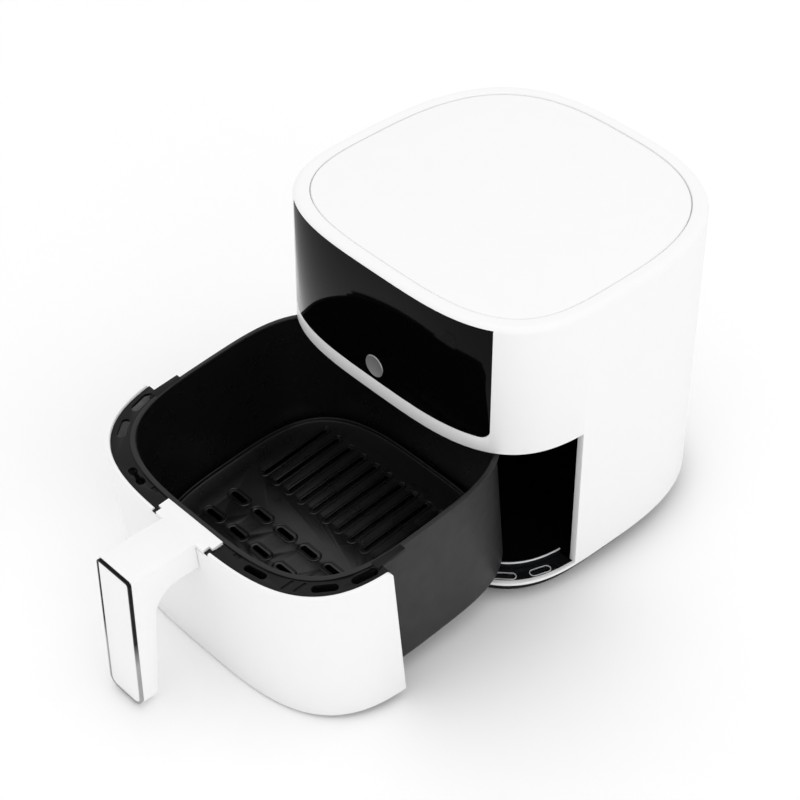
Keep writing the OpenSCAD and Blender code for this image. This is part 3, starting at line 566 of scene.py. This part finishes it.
def slat_tree():
    """A row of thin slats, each turned about its length."""
    tree, start, end = new_tree(
        "slats",
        [("Size", "NodeSocketVector", (100.0, 9.0, 1.4)), ("Turn", "NodeSocketVector", (0.0, 0.0, 0.0))],
    )
    slat = tree.nodes.new("GeometryNodeMeshCube")
    spread = tree.nodes.new("GeometryNodeInstanceOnPoints")
    tree.links.new(start.outputs["Size"], slat.inputs["Size"])
    tree.links.new(start.outputs["Points"], spread.inputs["Points"])
    tree.links.new(slat.outputs["Mesh"], spread.inputs["Instance"])
    tree.links.new(start.outputs["Turn"], spread.inputs["Rotation"])
    end_tree(tree, start, end, spread.outputs["Instances"])
    return tree


def screw_tree():
    """Round screw heads, standing on the points and facing down."""
    tree, start, end = new_tree(
        "screw_heads", [("Radius", "NodeSocketFloat", 3.5), ("Height", "NodeSocketFloat", 2.0),
                        ("Turn", "NodeSocketVector", (0.0, 0.0, 0.0))],
    )
    head = tree.nodes.new("GeometryNodeMeshCone")
    head.inputs["Vertices"].default_value = 24
    inner = tree.nodes.new("ShaderNodeMath")
    inner.operation = "MULTIPLY"
    inner.inputs[1].default_value = 0.8
    tree.links.new(start.outputs["Radius"], inner.inputs[0])
    tree.links.new(inner.outputs["Value"], head.inputs["Radius Top"])
    tree.links.new(start.outputs["Radius"], head.inputs["Radius Bottom"])
    tree.links.new(start.outputs["Height"], head.inputs["Depth"])
    spread = tree.nodes.new("GeometryNodeInstanceOnPoints")
    tree.links.new(start.outputs["Points"], spread.inputs["Points"])
    tree.links.new(head.outputs["Mesh"], spread.inputs["Instance"])
    tree.links.new(start.outputs["Turn"], spread.inputs["Rotation"])
    end_tree(tree, start, end, spread.outputs["Instances"])
    return tree


def track_tree():
    """Raised round-ended rings: a bead of wire run round a rounded rectangle at each point."""
    tree, start, end = new_tree(
        "raised_rings",
        [
            ("Length", "NodeSocketFloat", 25.0), ("Width", "NodeSocketFloat", 12.0),
            ("Bead", "NodeSocketFloat", 0.8),
        ],
    )
    ring = tree.nodes.new("GeometryNodeCurvePrimitiveQuadrilateral")
    round_off = tree.nodes.new("GeometryNodeFilletCurve")
    round_off.mode = "POLY"
    round_off.inputs["Count"].default_value = 8
    half = tree.nodes.new("ShaderNodeMath")
    half.operation = "MULTIPLY"
    half.inputs[1].default_value = 0.49
    bead = tree.nodes.new("GeometryNodeCurvePrimitiveCircle")
    bead.inputs["Resolution"].default_value = 8
    sweep = tree.nodes.new("GeometryNodeCurveToMesh")
    spread = tree.nodes.new("GeometryNodeInstanceOnPoints")
    tree.links.new(start.outputs["Length"], ring.inputs["Width"])
    tree.links.new(start.outputs["Width"], ring.inputs["Height"])
    shorter = tree.nodes.new("ShaderNodeMath")
    shorter.operation = "MINIMUM"
    tree.links.new(start.outputs["Length"], shorter.inputs[0])
    tree.links.new(start.outputs["Width"], shorter.inputs[1])
    tree.links.new(shorter.outputs["Value"], half.inputs[0])
    tree.links.new(ring.outputs["Curve"], round_off.inputs["Curve"])
    tree.links.new(half.outputs["Value"], round_off.inputs["Radius"])
    tree.links.new(start.outputs["Bead"], bead.inputs["Radius"])
    tree.links.new(round_off.outputs["Curve"], sweep.inputs["Curve"])
    tree.links.new(bead.outputs["Curve"], sweep.inputs["Profile Curve"])
    tree.links.new(start.outputs["Points"], spread.inputs["Points"])
    tree.links.new(sweep.outputs["Mesh"], spread.inputs["Instance"])
    end_tree(tree, start, end, spread.outputs["Instances"])
    return tree


# ---- Housing ----
def rim_profile(radius, top):
    return [
        (radius * (1 - math.cos(math.radians(a))), top - radius + radius * math.sin(math.radians(a)))
        for a in range(0, 91, 9)
    ]


def panel_prism(grow):
    """The front view of the panel, with its two rounded lower corners, as a solid from front to back."""
    s = bpy.context.scene.fryer_housing
    low, high = box_mm("control_panel")
    r = s.panel_corner / MM
    points = rounded_rectangle(low.x - grow, high.x + grow, low.z - grow, high.z + grow, [r, r, 0, 0])
    return prism(points, FRONT_Y - 20, FRONT_Y + 60, "Y")


def housing_shell():
    s = bpy.context.scene.fryer_housing
    wall, rim, inset = s.wall / MM, s.rim_radius / MM, s.cover_inset / MM
    low, high = s.opening_low / MM, s.opening_high / MM
    edge_y = FRONT_Y + s.opening_wrap / MM
    top = SHELL_TOP
    profile = [(0.8, SHELL_BOTTOM), (0.0, SHELL_BOTTOM + 0.8)] + rim_profile(rim, top)
    profile += [
        (inset - 1.0, top), (inset - 0.5, top - 0.15), (inset - 0.15, top - 0.5), (inset, top - 1.0),
    ]
    profile += [
        (inset, top - 4.0), (inset + 3, top - 4.0), (inset + 3, top - 5.5), (inset - 1.5, top - 5.5),
    ]
    profile += [(inset - 1.5, top - 3), (wall, top - 3), (wall, SHELL_BOTTOM)]
    shell = body_loft(profile, cyclic=True)
    cut(shell, block(-FAR, FAR, -FAR, edge_y, low, high))
    strip = body_loft([(0.0, low + 0.2), (0.0, high - 0.2), (s.return_width / MM, high - 0.2),
                       (s.return_width / MM, low + 0.2)], cyclic=True)
    keep(strip, block(-FAR, FAR, edge_y, edge_y + wall, low, high))
    add(shell, strip)
    recess = body_loft([(-3, top - 140), (-3, top + 10), (2.2, top + 10), (2.2, top - 140)], cyclic=True)
    keep(recess, panel_prism(0.3))
    cut(shell, recess)
    vent_low, vent_high = box_mm("rear_vent")
    cut(
        shell,
        block(
            vent_low.x - 0.3, vent_high.x + 0.3, BACK_Y - 30, BACK_Y + 5, vent_low.z - 0.3,
            vent_high.z + 0.3,
        ),
    )
    gland_low, gland_high = box_mm("cord_gland")
    middle = (gland_low + gland_high) / 2
    cut(shell, lathe([(7.3, -30), (7.3, 30)], 32, Matrix.Rotation(math.radians(90), 4, "X"),
                     (middle.x, BACK_Y, middle.z)))
    return shell


def top_cover():
    s = bpy.context.scene.fryer_housing
    inset = s.cover_inset / MM + 0.7
    edge, run, crown = SHELL_TOP - 0.6, s.crown_run / MM, s.crown / MM
    profile = [
        (inset + 1.0, edge - 3.4), (inset, edge - 3.0), (inset, edge - 1.0), (inset + 0.2, edge - 0.45),
        (inset + 0.6, edge - 0.1), (inset + 1.2, edge),
    ]
    for k in range(1, 13):
        share = k / 12
        profile.append((inset + 1.2 + (run - 1.2) * share, edge + crown * (1 - (1 - share) ** 2)))
    profile.append((inset + run + 30, edge + crown))
    return body_loft(profile)


def control_panel():
    low, high = box_mm("control_panel")
    band = body_loft([(0, low.z - 5), (0, high.z + 5), (2.0, high.z + 5), (2.0, low.z - 5)], cyclic=True)
    return keep(band, panel_prism(0.0))


def sill():
    s = bpy.context.scene.fryer_housing
    high = box_mm("sill_tray")[1]
    floor_z = s.opening_low / MM - 0.5
    ridge = s.sill_width / MM
    edge_y = FRONT_Y + s.opening_wrap / MM - 0.3
    tray = body_loft(
        [(3.5, floor_z - 1.2), (3.5, floor_z), (22.5, floor_z), (22.5, floor_z - 1.2)], cyclic=True,
    )
    hump = body_loft(
        [
            (ridge - 0.6, floor_z - 0.6), (ridge, high.z - 1.2), (ridge + 0.5, high.z - 0.4),
            (ridge + 1.25, high.z - 0.05), (ridge + 2.0, high.z - 0.4), (ridge + 2.5, high.z - 1.2),
            (ridge + 3.1, floor_z - 0.6),
        ],
        cyclic=True,
    )
    gap = box_mm("glide_bar")
    cut(hump, block(gap[0].x - 6, gap[1].x + 6, -FAR, FRONT_Y + 60, floor_z, 60))
    add(tray, hump)
    keep(tray, block(-FAR, FAR, -FAR, edge_y, 0, 60))
    for t, long in SILL_SLOTS:
        for side in (-1, 1):
            cut(tray, sill_slot(t, long, floor_z, side))
    return tray


def sill_slot(t, long, floor_z, side):
    return corner_slot(t, SILL_SLOT_INSET, long, SILL_SLOT_WIDTH, floor_z - 4, floor_z + 1, side)


def ridge_highlight_strip():
    """A light strip along the top of the ridge: a painted highlight on its glossy edge."""
    s = bpy.context.scene.fryer_housing
    high = box_mm("sill_tray")[1].z
    at = s.sill_width / MM + 0.4
    ring = [
        (at + 0.8 * math.cos(2 * math.pi * k / 12), high - 0.7 + 0.8 * math.sin(2 * math.pi * k / 12))
        for k in range(12)
    ]
    rail = body_loft(ring, cyclic=True)
    gap = box_mm("glide_bar")
    keep(rail, block(-FAR, FAR, -FAR, FRONT_Y + s.opening_wrap / MM - 0.3, 0, 60))
    return cut(rail, block(gap[0].x - 6, gap[1].x + 6, -FAR, FRONT_Y + 60, 10, 60))


def slot_rim_highlights():
    """The turned-up edges of the slots in the sill, light in color: painted highlights on them."""
    s = bpy.context.scene.fryer_housing
    floor_z = s.opening_low / MM - 0.5
    rims = None
    for t, long in SILL_SLOTS:
        for side in (-1, 1):
            size = (long + 1.4, SILL_SLOT_WIDTH + 1.4)
            rim = corner_slot(t, SILL_SLOT_INSET, *size, floor_z - 1.0, floor_z + 0.45, side)
            cut(rim, sill_slot(t, long, floor_z, side))
            rims = add(rims, rim) if rims else rim
    return rims


def corner_point(t, inset):
    s = bpy.context.scene.fryer_housing
    widest = s.widest / MM
    a = math.radians(t)
    return Vector((
        (HALF_W - inset) * signed_power(math.cos(a), 2 / s.front_square),
        FRONT_Y + widest + (widest - inset) * signed_power(math.sin(a), 2 / s.front_square),
    ))


def corner_turn(t, inset):
    d = corner_point(t + 1, inset) - corner_point(t - 1, inset)
    return math.atan2(d.y, d.x)


def corner_shape(points, t, inset, side):
    """A flat shape turned to follow the corner of the body at parameter t, on one side or the other."""
    at, turn = corner_point(t, inset), corner_turn(t, inset)
    out = []
    for x, y in points:
        px = at.x + x * math.cos(turn) - y * math.sin(turn)
        py = at.y + x * math.sin(turn) + y * math.cos(turn)
        out.append((side * px, py))
    return out if side > 0 else out[::-1]


def corner_slot(t, inset, long, wide, low, high, side):
    return prism(corner_shape(stadium(long, wide), t, inset, side), low, high)


class FRYER_OT_housing(bpy.types.Operator):
    """Build the white housing, its cover and the control panel"""

    bl_idname = "fryer.housing"
    bl_label = "Housing"

    def execute(self, context):
        piece(
            soften(housing_shell(), 0.5), "housing_shell", finish_of("shell_white"), "housing",
            ["outer_shell"],
        )
        piece(top_cover(), "top_lid", finish_of("shell_white"), "housing", ["top_cover"])
        piece(
            soften(control_panel(), 0.3), "front_panel", finish_of("panel_black"), "housing",
            ["control_panel"],
        )
        low, high = box_mm("panel_badge")
        r = (high.x - low.x) / 2
        disc = lathe(
            [
                (r - 0.5, 0.5), (r, 0.25), (r, -0.2), (r - 0.25, -0.5), (r - 0.9, -0.5),
                (r - 1.2, -0.35), (0.6, -0.35),
            ],
            64, Matrix.Rotation(math.radians(-90), 4, "X"), (0, FRONT_Y - 0.05, (low.z + high.z) / 2),
        )
        piece(disc, "badge_disc", finish_of("badge_silver"), "housing", ["panel_badge"])
        return {"FINISHED"}


class FRYER_OT_sill(bpy.types.Operator):
    """Build the sill under the opening"""

    bl_idname = "fryer.sill"
    bl_label = "Sill"

    def execute(self, context):
        piece(
            soften(sill(), 0.25), "sill_floor", finish_of("base_black"), "housing",
            ["sill_tray"],
        )
        # Light strips that paint highlights on the ridge and on the rims of the slots.
        piece(ridge_highlight_strip(), "ridge_highlight_strip", finish_of("painted_highlight_edge"), "housing")
        piece(soften(slot_rim_highlights(), 0.2), "slot_rim_highlights", finish_of("painted_highlight_edge"), "housing")
        return {"FINISHED"}


class FRYER_OT_back_and_base(bpy.types.Operator):
    """Build the vent at the back and the screws"""

    bl_idname = "fryer.back_and_base"
    bl_label = "Back and base"

    def execute(self, context):
        low, high = box_mm("rear_vent")
        low.y -= FRAME_Y
        high.y -= FRAME_Y
        ring = prism(rounded_rectangle(low.x, high.x, low.z, high.z, [5] * 4), low.y, high.y, "Y")
        cut(
            ring,
            prism(
                rounded_rectangle(low.x + 3, high.x - 3, low.z + 3, high.z - 3, [3] * 4), low.y - 1,
                high.y + 1, "Y",
            ),
        )
        piece(
            soften(ring, 0.7), "vent_frame", finish_of("base_black"), "housing",
            ["rear_vent"],
        )
        step = (high.z - low.z - 11) / (SLATS - 1)
        points = [(0, high.y - 6, low.z + 5.5 + k * step) for k in range(SLATS)]
        slat = {"Size": (high.x - low.x - 5, 9, 1.4), "Turn": (math.radians(SLAT_TURN), 0, 0)}
        slats = run_tree(slat_tree(), points, slat, finish_of("base_black"))
        piece(slats, "vent_slats", None, "housing")
        low, high = box_mm("base_screws")
        inner_x, inner_y = high.x - SCREW_RADIUS, (high.y - low.y) / 2 - SCREW_RADIUS
        points = [(sx * inner_x, sy * inner_y, low.z) for sx in (-1, 1) for sy in (-1, 1)]
        head = {"Radius": SCREW_RADIUS, "Height": 1.9, "Turn": (0, 0, 0)}
        heads = run_tree(screw_tree(), points, head, finish_of("screw_steel"))
        piece(heads, "base_screw_heads", None, "housing", ["base_screws"])
        return {"FINISHED"}


# ---- Drawer ----
def drawer_heights():
    """The lower and upper edge of the front, then the top and the underside of the trim."""
    s = bpy.context.scene.fryer_drawer
    top = s.high / MM
    trim_top = top - s.lip / MM
    return s.low / MM, top, trim_top, trim_top - s.trim / MM


def pan_heights():
    """The underside of the pan, then the underside and the top of its rim."""
    bottom = box_mm("glide_bar")[1].z + 0.5
    trim_top = drawer_heights()[2]
    return bottom, trim_top + 0.3, trim_top + 1.5


def front_shell():
    s = bpy.context.scene.fryer_drawer
    low, top, trim_top, _ = drawer_heights()
    wall = s.wall / MM
    shell = body_loft(
        [
            (0, low), (0, top - 1.2), (0.25, top - 0.45), (0.8, top), (wall - 0.8, top),
            (wall - 0.2, top - 0.5), (wall, top - 1.2), (wall, low),
        ],
        cyclic=True,
    )
    end = FRONT_Y + bpy.context.scene.fryer_housing.opening_wrap / MM - 1
    side = rounded_rectangle(-FAR, end, low - 1, top, [0, 0, s.corner / MM, 0])
    keep(shell, prism([(y, z) for y, z in side][::-1], -FAR, FAR, "X"))
    cut(shell, block(-NOTCH, NOTCH, FRONT_Y - 5, FRONT_Y + 12, top - 4.2, top + 5))
    for x in (-NOTCH - 4.9, NOTCH):
        cut(shell, block(x, x + 4.9, FRONT_Y - 5, FRONT_Y + 12, trim_top - 0.4, top + 5))
    return shell


def trim_ring():
    s = bpy.context.scene.fryer_drawer
    h = bpy.context.scene.fryer_handle
    trim_top, trim_low = drawer_heights()[2:]
    gap = s.wall / MM + 0.3
    end = FRONT_Y + bpy.context.scene.fryer_housing.opening_wrap / MM - 1.2
    ring = body_loft([(gap, trim_low), (gap, trim_top)])
    keep(ring, block(-FAR, FAR, -FAR, end, 0, 300))
    half = s.pan_half_width / MM
    for side in (-1, 1):
        add(ring, side_block(side, half - 2, half + 6, end - 5, end + 23, trim_low + 0.1, trim_top + 1.6))
        add(
            ring,
            side_block(side, half + 1, half + 6.5, end - 9, end - 2, trim_low + 0.2, trim_top + 0.8),
        )
        tooth = (NOTCH + 0.3, NOTCH + 4.6, FRONT_Y + 0.5, FRONT_Y + 8)
        add(ring, side_block(side, *tooth, trim_low + 0.05, trim_top + 0.6))
    bead = body_loft(
        [
            (gap + 17, trim_top - 0.2), (gap + 17, trim_top + 0.6), (gap + 18.6, trim_top + 0.6),
            (gap + 18.6, trim_top - 0.2),
        ],
        cyclic=True,
    )
    keep(bead, block(-FAR, FAR, -FAR, end - 12, 0, 300))
    add(ring, bead)
    cut(ring, pan_loft([(0.4, trim_low - 5), (0.4, trim_top + 5)]))
    foot = h.foot / MM / 2 + 0.3
    cut(ring, block(-foot, foot, FRONT_Y + 6.2, FRONT_Y + 16.9, trim_top - 1.6, trim_top + 5))
    cut(ring, block(-NOTCH, NOTCH, FRONT_Y - 1, FRONT_Y + 7, trim_top - 1.6, trim_top + 5))
    for side in (-1, 1):
        for turn_at, inset, long, wide in TRIM_SLOTS:
            cut(ring, corner_slot(turn_at, inset, long, wide, trim_low - 1, trim_top + 1, side))
        cut(ring, side_block(side, 47, 54, FRONT_Y + 14.5, FRONT_Y + 19.5, trim_top - 1.2, trim_top + 1))
    cut(ring, corner_slot(*NEAR_SLOT, 21, 6.6, trim_low - 1, trim_top + 1, 1))
    # The slot on the other side is a bar with two wider ends.
    for shift, long, wide in ((-6.5, 9, 7.2), (6.5, 9, 7.2), (0, 16, 4)):
        points = [(x + shift, y) for x, y in stadium(long, wide)]
        cut(ring, prism(corner_shape(points, *NEAR_SLOT, -1), trim_low - 1, trim_top + 1))
    # Two slanting grooves on the right.
    cos, sin = math.cos(1.0), math.sin(1.0)
    for shift in (-5, 5):
        points = [(x * cos - y * sin + shift, x * sin + y * cos) for x, y in stadium(12, 2.6)]
        cut(ring, prism(corner_shape(points, -52, 11.5, 1), trim_top - 1.2, trim_top + 1))
    return ring


def pan_bend(low, inset, angles):
    """Points on the bend between floor and wall, from the floor at 0 degrees to the wall at 90."""
    points = []
    for a in angles:
        turn = math.radians(a)
        across = PAN_BEND * math.sin(turn) - PAN_BEND - inset
        points.append((across, low + PAN_BEND + inset - PAN_BEND * math.cos(turn)))
    return points


def pan_body():
    s = bpy.context.scene.fryer_drawer
    low, rim_low, rim_high = pan_heights()
    rim = s.pan_rim / MM
    profile = [(-14, low)]
    profile += pan_bend(low, 0, range(0, 91, 10))
    profile += [
        (0, rim_low - 0.6), (0.3, rim_low - 0.15), (rim - 0.5, rim_low), (rim, rim_low + 0.4),
        (rim - 0.1, rim_high - 0.35), (rim - 0.6, rim_high), (-0.2, rim_high), (-0.55, rim_high - 0.3),
        (-0.6, rim_high - 0.9),
    ]
    profile += [(-0.6, low + PAN_BEND)] + pan_bend(low, 0.6, range(80, -1, -10)) + [(-14, low + 0.6)]
    return pan_loft(profile)


def pan_lining():
    """The black lining, drawn just inside the wall of the pan."""
    low, _, rim_high = pan_heights()
    profile = [(-14, low + 0.55)]
    profile += pan_bend(low, 0.55, range(0, 91, 10))
    profile += [(-0.55, rim_high - 1.2), (-1.2, rim_high - 1.0), (-1.2, low + PAN_BEND + 1.2)]
    profile += pan_bend(low, 1.2, range(80, -1, -10))
    profile += [(-14, low + 1.2)]
    return pan_loft(profile)


def long_slot_places(half_l):
    return [(i * LONG_SLOT_STEP, pan_middle() + half_l * 0.42) for i in range(-6, 7)]


def short_slot_places(half_l):
    """Three rows of seven across the front half of the plate."""
    rows = [pan_middle() - half_l * (0.18 + 0.24 * j) for j in range(3)]
    return [(i * SHORT_SLOT_STEP, y) for i in range(-3, 4) for y in rows]


def crisper():
    s = bpy.context.scene.fryer_drawer
    low = pan_heights()[0] + 1.2 + s.plate_rise / MM
    top = low + PLATE_THICK
    grow = -1.2 - s.plate_gap / MM
    half_l = s.pan_length / MM / 2 + grow
    profile = [
        (-20, low), (grow - 2.2, low), (grow - 1.6, low - 4), (grow, low - 4), (grow, top + 2.4),
        (grow - 0.3, top + 2.9), (grow - 0.8, top + 3), (grow - 1.4, top + 2.7), (grow - 1.7, top + 2),
        (grow - 2.4, top + 0.4), (grow - 3.4, top), (-20, top),
    ]
    plate = pan_loft(profile)
    for x0, y0 in long_slot_places(half_l):
        slot = [(x0 - y, y0 + x) for x, y in stadium(half_l * 0.62, 4)]
        cut(plate, prism(slot, low - 1, top + 1))
    for x0, y0 in short_slot_places(half_l):
        slot = [(x0 + x, y0 + y) for x, y in stadium(18, 5)]
        cut(plate, prism(slot, low - 1, top + 1))
    return plate, top, half_l


class FRYER_OT_drawer(bpy.types.Operator):
    """Build the front of the drawer, its trim and the pan"""

    bl_idname = "fryer.drawer"
    bl_label = "Drawer"

    def execute(self, context):
        piece(
            soften(front_shell(), 0.4), "front_shell", finish_of("shell_white"), "drawer",
            ["drawer_front"], ON_DRAWER,
        )
        piece(
            soften(trim_ring(), 0.4), "trim_ring", finish_of("drawer_black"), "drawer",
            ["drawer_trim"], ON_DRAWER,
        )
        piece(
            pan_body(), "pan_wall", finish_of("pan_coating"), "drawer", ["pan"],
            ON_DRAWER,
        )
        piece(
            pan_lining(), "pan_lining", finish_of("plate_coating"), "drawer", (),
            ON_DRAWER,
        )
        return {"FINISHED"}


class FRYER_OT_crisper(bpy.types.Operator):
    """Build the crisper plate with its slots and raised rings"""

    bl_idname = "fryer.crisper"
    bl_label = "Crisper plate"

    def execute(self, context):
        plate, top, half_l = crisper()
        piece(
            soften(plate, 0.3), "slotted_plate", finish_of("plate_coating"), "crisper",
            ["crisper_plate"], ON_DRAWER,
        )
        points = [(x, y, top) for x, y in short_slot_places(half_l)]
        size = {"Length": 24.0, "Width": 11.0, "Bead": 0.9}
        rings = run_tree(track_tree(), points, size, finish_of("plate_coating"))
        piece(rings, "raised_rings", None, "crisper", (), ON_DRAWER)
        points = [(x, y, top) for x, y in long_slot_places(half_l)]
        size = {"Length": 8.0, "Width": half_l * 0.68, "Bead": 0.8}
        beads = run_tree(track_tree(), points, size, finish_of("plate_coating"))
        piece(beads, "slot_beads", None, "crisper", (), ON_DRAWER)
        return {"FINISHED"}


# ---- Handle ----
def handle_root():
    """Where the handle leans: the upper end of its root."""
    return FRONT_Y, bpy.context.scene.fryer_drawer.high / MM + 0.4


def lean_matrix():
    y, z = handle_root()
    lean = Matrix.Rotation(-bpy.context.scene.fryer_handle.lean, 4, "X")
    return Matrix.Translation((0, y, z)) @ lean @ Matrix.Translation((0, -y, -z))


def grip_outline(inset, top):
    h = bpy.context.scene.fryer_handle
    half, low = h.width / MM / 2 - inset, h.low / MM + inset
    lower, upper = h.low_corner / MM - inset, h.top_corner / MM - inset
    return rounded_rectangle(-half, half, low, top - inset, [lower, lower, upper, upper], 12)


def grip_slab(back_y, depth, inset, top):
    slab = prism(grip_outline(inset, top), back_y - depth, back_y, "Y")
    slab.data.transform(lean_matrix())
    return slab


def handle_form():
    h = bpy.context.scene.fryer_handle
    root_y, top = handle_root()
    half = h.width / MM / 2
    neck = h.neck / MM
    back = FRONT_Y - h.finger_gap / MM
    front = back - h.depth / MM
    low = h.low / MM
    leaned = [(front, top), (front, low), (back - h.taper / MM, low)]
    leaned += [
        (
            back + neck * (1 - math.cos(math.radians(a))),
            top - neck - neck * (1 - math.sin(math.radians(a))),
        )
        for a in range(0, 91, 6)
    ]
    lean = lean_matrix()
    side = [(root_y - 0.3, top)]
    for y, z in leaned:
        p = lean @ Vector((0, y, z))
        side.append((p.y, p.z))
    side.append((root_y - 0.3, top - neck))
    body = prism(side, -half, half, "X")
    keep(body, grip_slab(root_y + 5, 140, -0.02, top + 12))
    foot = h.foot / MM / 2
    add(body, block(-29, 29, root_y + 0.4, root_y + 8, top - 3.8, top - 0.1))
    add(body, block(-foot, foot, root_y + 6.5, root_y + 16.5, top - 3.9, top - 0.15))
    add(body, block(-half + 0.1, half - 0.1, root_y - 3, root_y + 3, top - 3.7, top - 0.05))
    return body, top, front


def neck_ribs(top):
    """Short ribs under the neck, against the front of the drawer."""
    h = bpy.context.scene.fryer_handle
    neck, half = h.neck / MM, h.width / MM / 2
    ribs = None
    for k in range(h.rib_count):
        x = -half + 6 + (2 * half - 12) * k / max(1, h.rib_count - 1)
        rib = prism(
            [
                (FRONT_Y - 0.4, top - neck + 0.5), (FRONT_Y - 12, top - neck + 1.6),
                (FRONT_Y - 0.4, top - neck - 7),
            ],
            x - 1, x + 1, "X",
        )
        ribs = add(ribs, rib) if ribs else rib
    return ribs


class FRYER_OT_handle(bpy.types.Operator):
    """Build the handle, its bright bezel and its front plate"""

    bl_idname = "fryer.handle"
    bl_label = "Handle"

    def execute(self, context):
        h = context.scene.fryer_handle
        body, top, front = handle_form()
        piece(
            soften(body, 1.4, 3), "handle_grip", finish_of("handle_white"), "drawer",
            ["handle_body"], ON_DRAWER,
        )
        piece(
            soften(neck_ribs(top), 0.3), "neck_ribs", finish_of("handle_white"), "drawer",
            (), ON_DRAWER,
        )
        bezel = h.bezel / MM
        ring = grip_slab(front - 0.1, 2.9, 0, top)
        cut(ring, grip_slab(front + 1, 6, bezel, top))
        # The bezel's finish paints a dark reflection on its upper part.
        piece(
            soften(ring, 0.4, 2), "bright_bezel", finish_of("bezel_chrome"), "drawer",
            ["grip_bezel"], ON_DRAWER,
        )
        plate = grip_slab(front - 0.1, 2.6, bezel + 0.15, top)
        piece(
            soften(plate, 0.5, 3), "front_plate", finish_of("handle_white"), "drawer",
            ["grip_insert"], ON_DRAWER,
        )
        return {"FINISHED"}


class FRYER_OT_other_parts(bpy.types.Operator):
    """Paint the parts that are shown as they are in the frame"""

    bl_idname = "fryer.other_parts"
    bl_label = "Other parts"

    def execute(self, context):
        for row in frame["record"]["subparts"]:
            node = frame["nodes"][row["node"]]
            node.data.materials.clear()
            node.data.materials.append(finish_of(row["material_slot"]))
        return {"FINISHED"}


class FRYER_OT_stage(bpy.types.Operator):
    """Set the floor, the soft lights and the camera"""

    bl_idname = "fryer.stage"
    bl_label = "Stage"

    def execute(self, context):
        s = context.scene.fryer_stage
        half = s.floor_size / 2
        floor = make_object(
            [(-half, -half, 0), (half, -half, 0), (half, half, 0), (-half, half, 0)], [(0, 1, 2, 3)],
        )
        floor.name = "floor"
        floor.data.materials.append(surface("floor_white", (1.0, 1.0, 1.0), 0.8, spread=0.004))
        world = context.scene.world or bpy.data.worlds.new("surroundings")
        context.scene.world = world
        world.use_nodes = True
        background = world.node_tree.nodes["Background"]
        background.inputs["Color"].default_value = (1, 1, 1, 1)
        background.inputs["Strength"].default_value = s.sky
        context.scene.view_settings.view_transform = "Standard"
        self.light("softbox_above", (0.2, 0.3, 4.0), (0, 0, 0.1), 4.0, 20)
        self.light("softbox_side", (2.9, -0.6, 1.8), (0, 0, 0.15), 2.2, 7.5)
        data = bpy.data.cameras.new("camera")
        camera = bpy.data.objects.new("camera", data)
        context.scene.collection.objects.link(camera)
        back = Vector((0.5586, -0.5136, 0.6513))
        right = Vector((0.6775, 0.7355, -0.0010))
        up = back.cross(right)
        turn = Matrix((right, up, back)).transposed().to_4x4()
        camera.matrix_world = Matrix.Translation(s.camera_at) @ turn
        data.sensor_width = 36.0
        data.lens = s.lens
        data.clip_end = 100
        context.scene.camera = camera
        return {"FINISHED"}

    def light(self, name, at, to, size, power):
        data = bpy.data.lights.new(name, "AREA")
        data.shape = "DISK"
        data.size = size
        data.energy = power
        lamp = bpy.data.objects.new(name, data)
        bpy.context.scene.collection.objects.link(lamp)
        lamp.location = at
        lamp.rotation_mode = "QUATERNION"
        lamp.rotation_quaternion = (Vector(to) - Vector(at)).to_track_quat("-Z", "Y")


class FRYER_PT_panel(bpy.types.Panel):
    """The steps that build the fryer"""

    bl_idname = "FRYER_PT_panel"
    bl_label = "Hot-air fryer"
    bl_space_type = "VIEW_3D"
    bl_region_type = "UI"
    bl_category = "Fryer"

    def draw(self, context):
        for step in OPERATORS:
            self.layout.operator(step.bl_idname)
        for group in SETTINGS:
            settings = getattr(context.scene, group)
            for name in settings.__annotations__:
                self.layout.prop(settings, name)


OPERATORS = [
    FRYER_OT_housing,
    FRYER_OT_sill,
    FRYER_OT_back_and_base,
    FRYER_OT_drawer,
    FRYER_OT_crisper,
    FRYER_OT_handle,
    FRYER_OT_other_parts,
    FRYER_OT_stage,
]
SETTINGS = {
    "fryer_housing": FryerHousingSettings,
    "fryer_drawer": FryerDrawerSettings,
    "fryer_handle": FryerHandleSettings,
    "fryer_stage": FryerStageSettings,
}


def register():
    for group, kind in SETTINGS.items():
        bpy.utils.register_class(kind)
        setattr(bpy.types.Scene, group, PointerProperty(type=kind))
    for kind in OPERATORS:
        bpy.utils.register_class(kind)
    bpy.utils.register_class(FRYER_PT_panel)


def unregister():
    bpy.utils.unregister_class(FRYER_PT_panel)
    for kind in reversed(OPERATORS):
        bpy.utils.unregister_class(kind)
    for group, kind in SETTINGS.items():
        delattr(bpy.types.Scene, group)
        bpy.utils.unregister_class(kind)


def main():
    register()
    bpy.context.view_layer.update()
    bpy.ops.fryer.housing()
    bpy.ops.fryer.sill()
    bpy.ops.fryer.back_and_base()
    bpy.ops.fryer.drawer()
    bpy.ops.fryer.crisper()
    bpy.ops.fryer.handle()
    bpy.ops.fryer.other_parts()
    bpy.ops.fryer.stage()


if __name__ == "__main__":
    main()
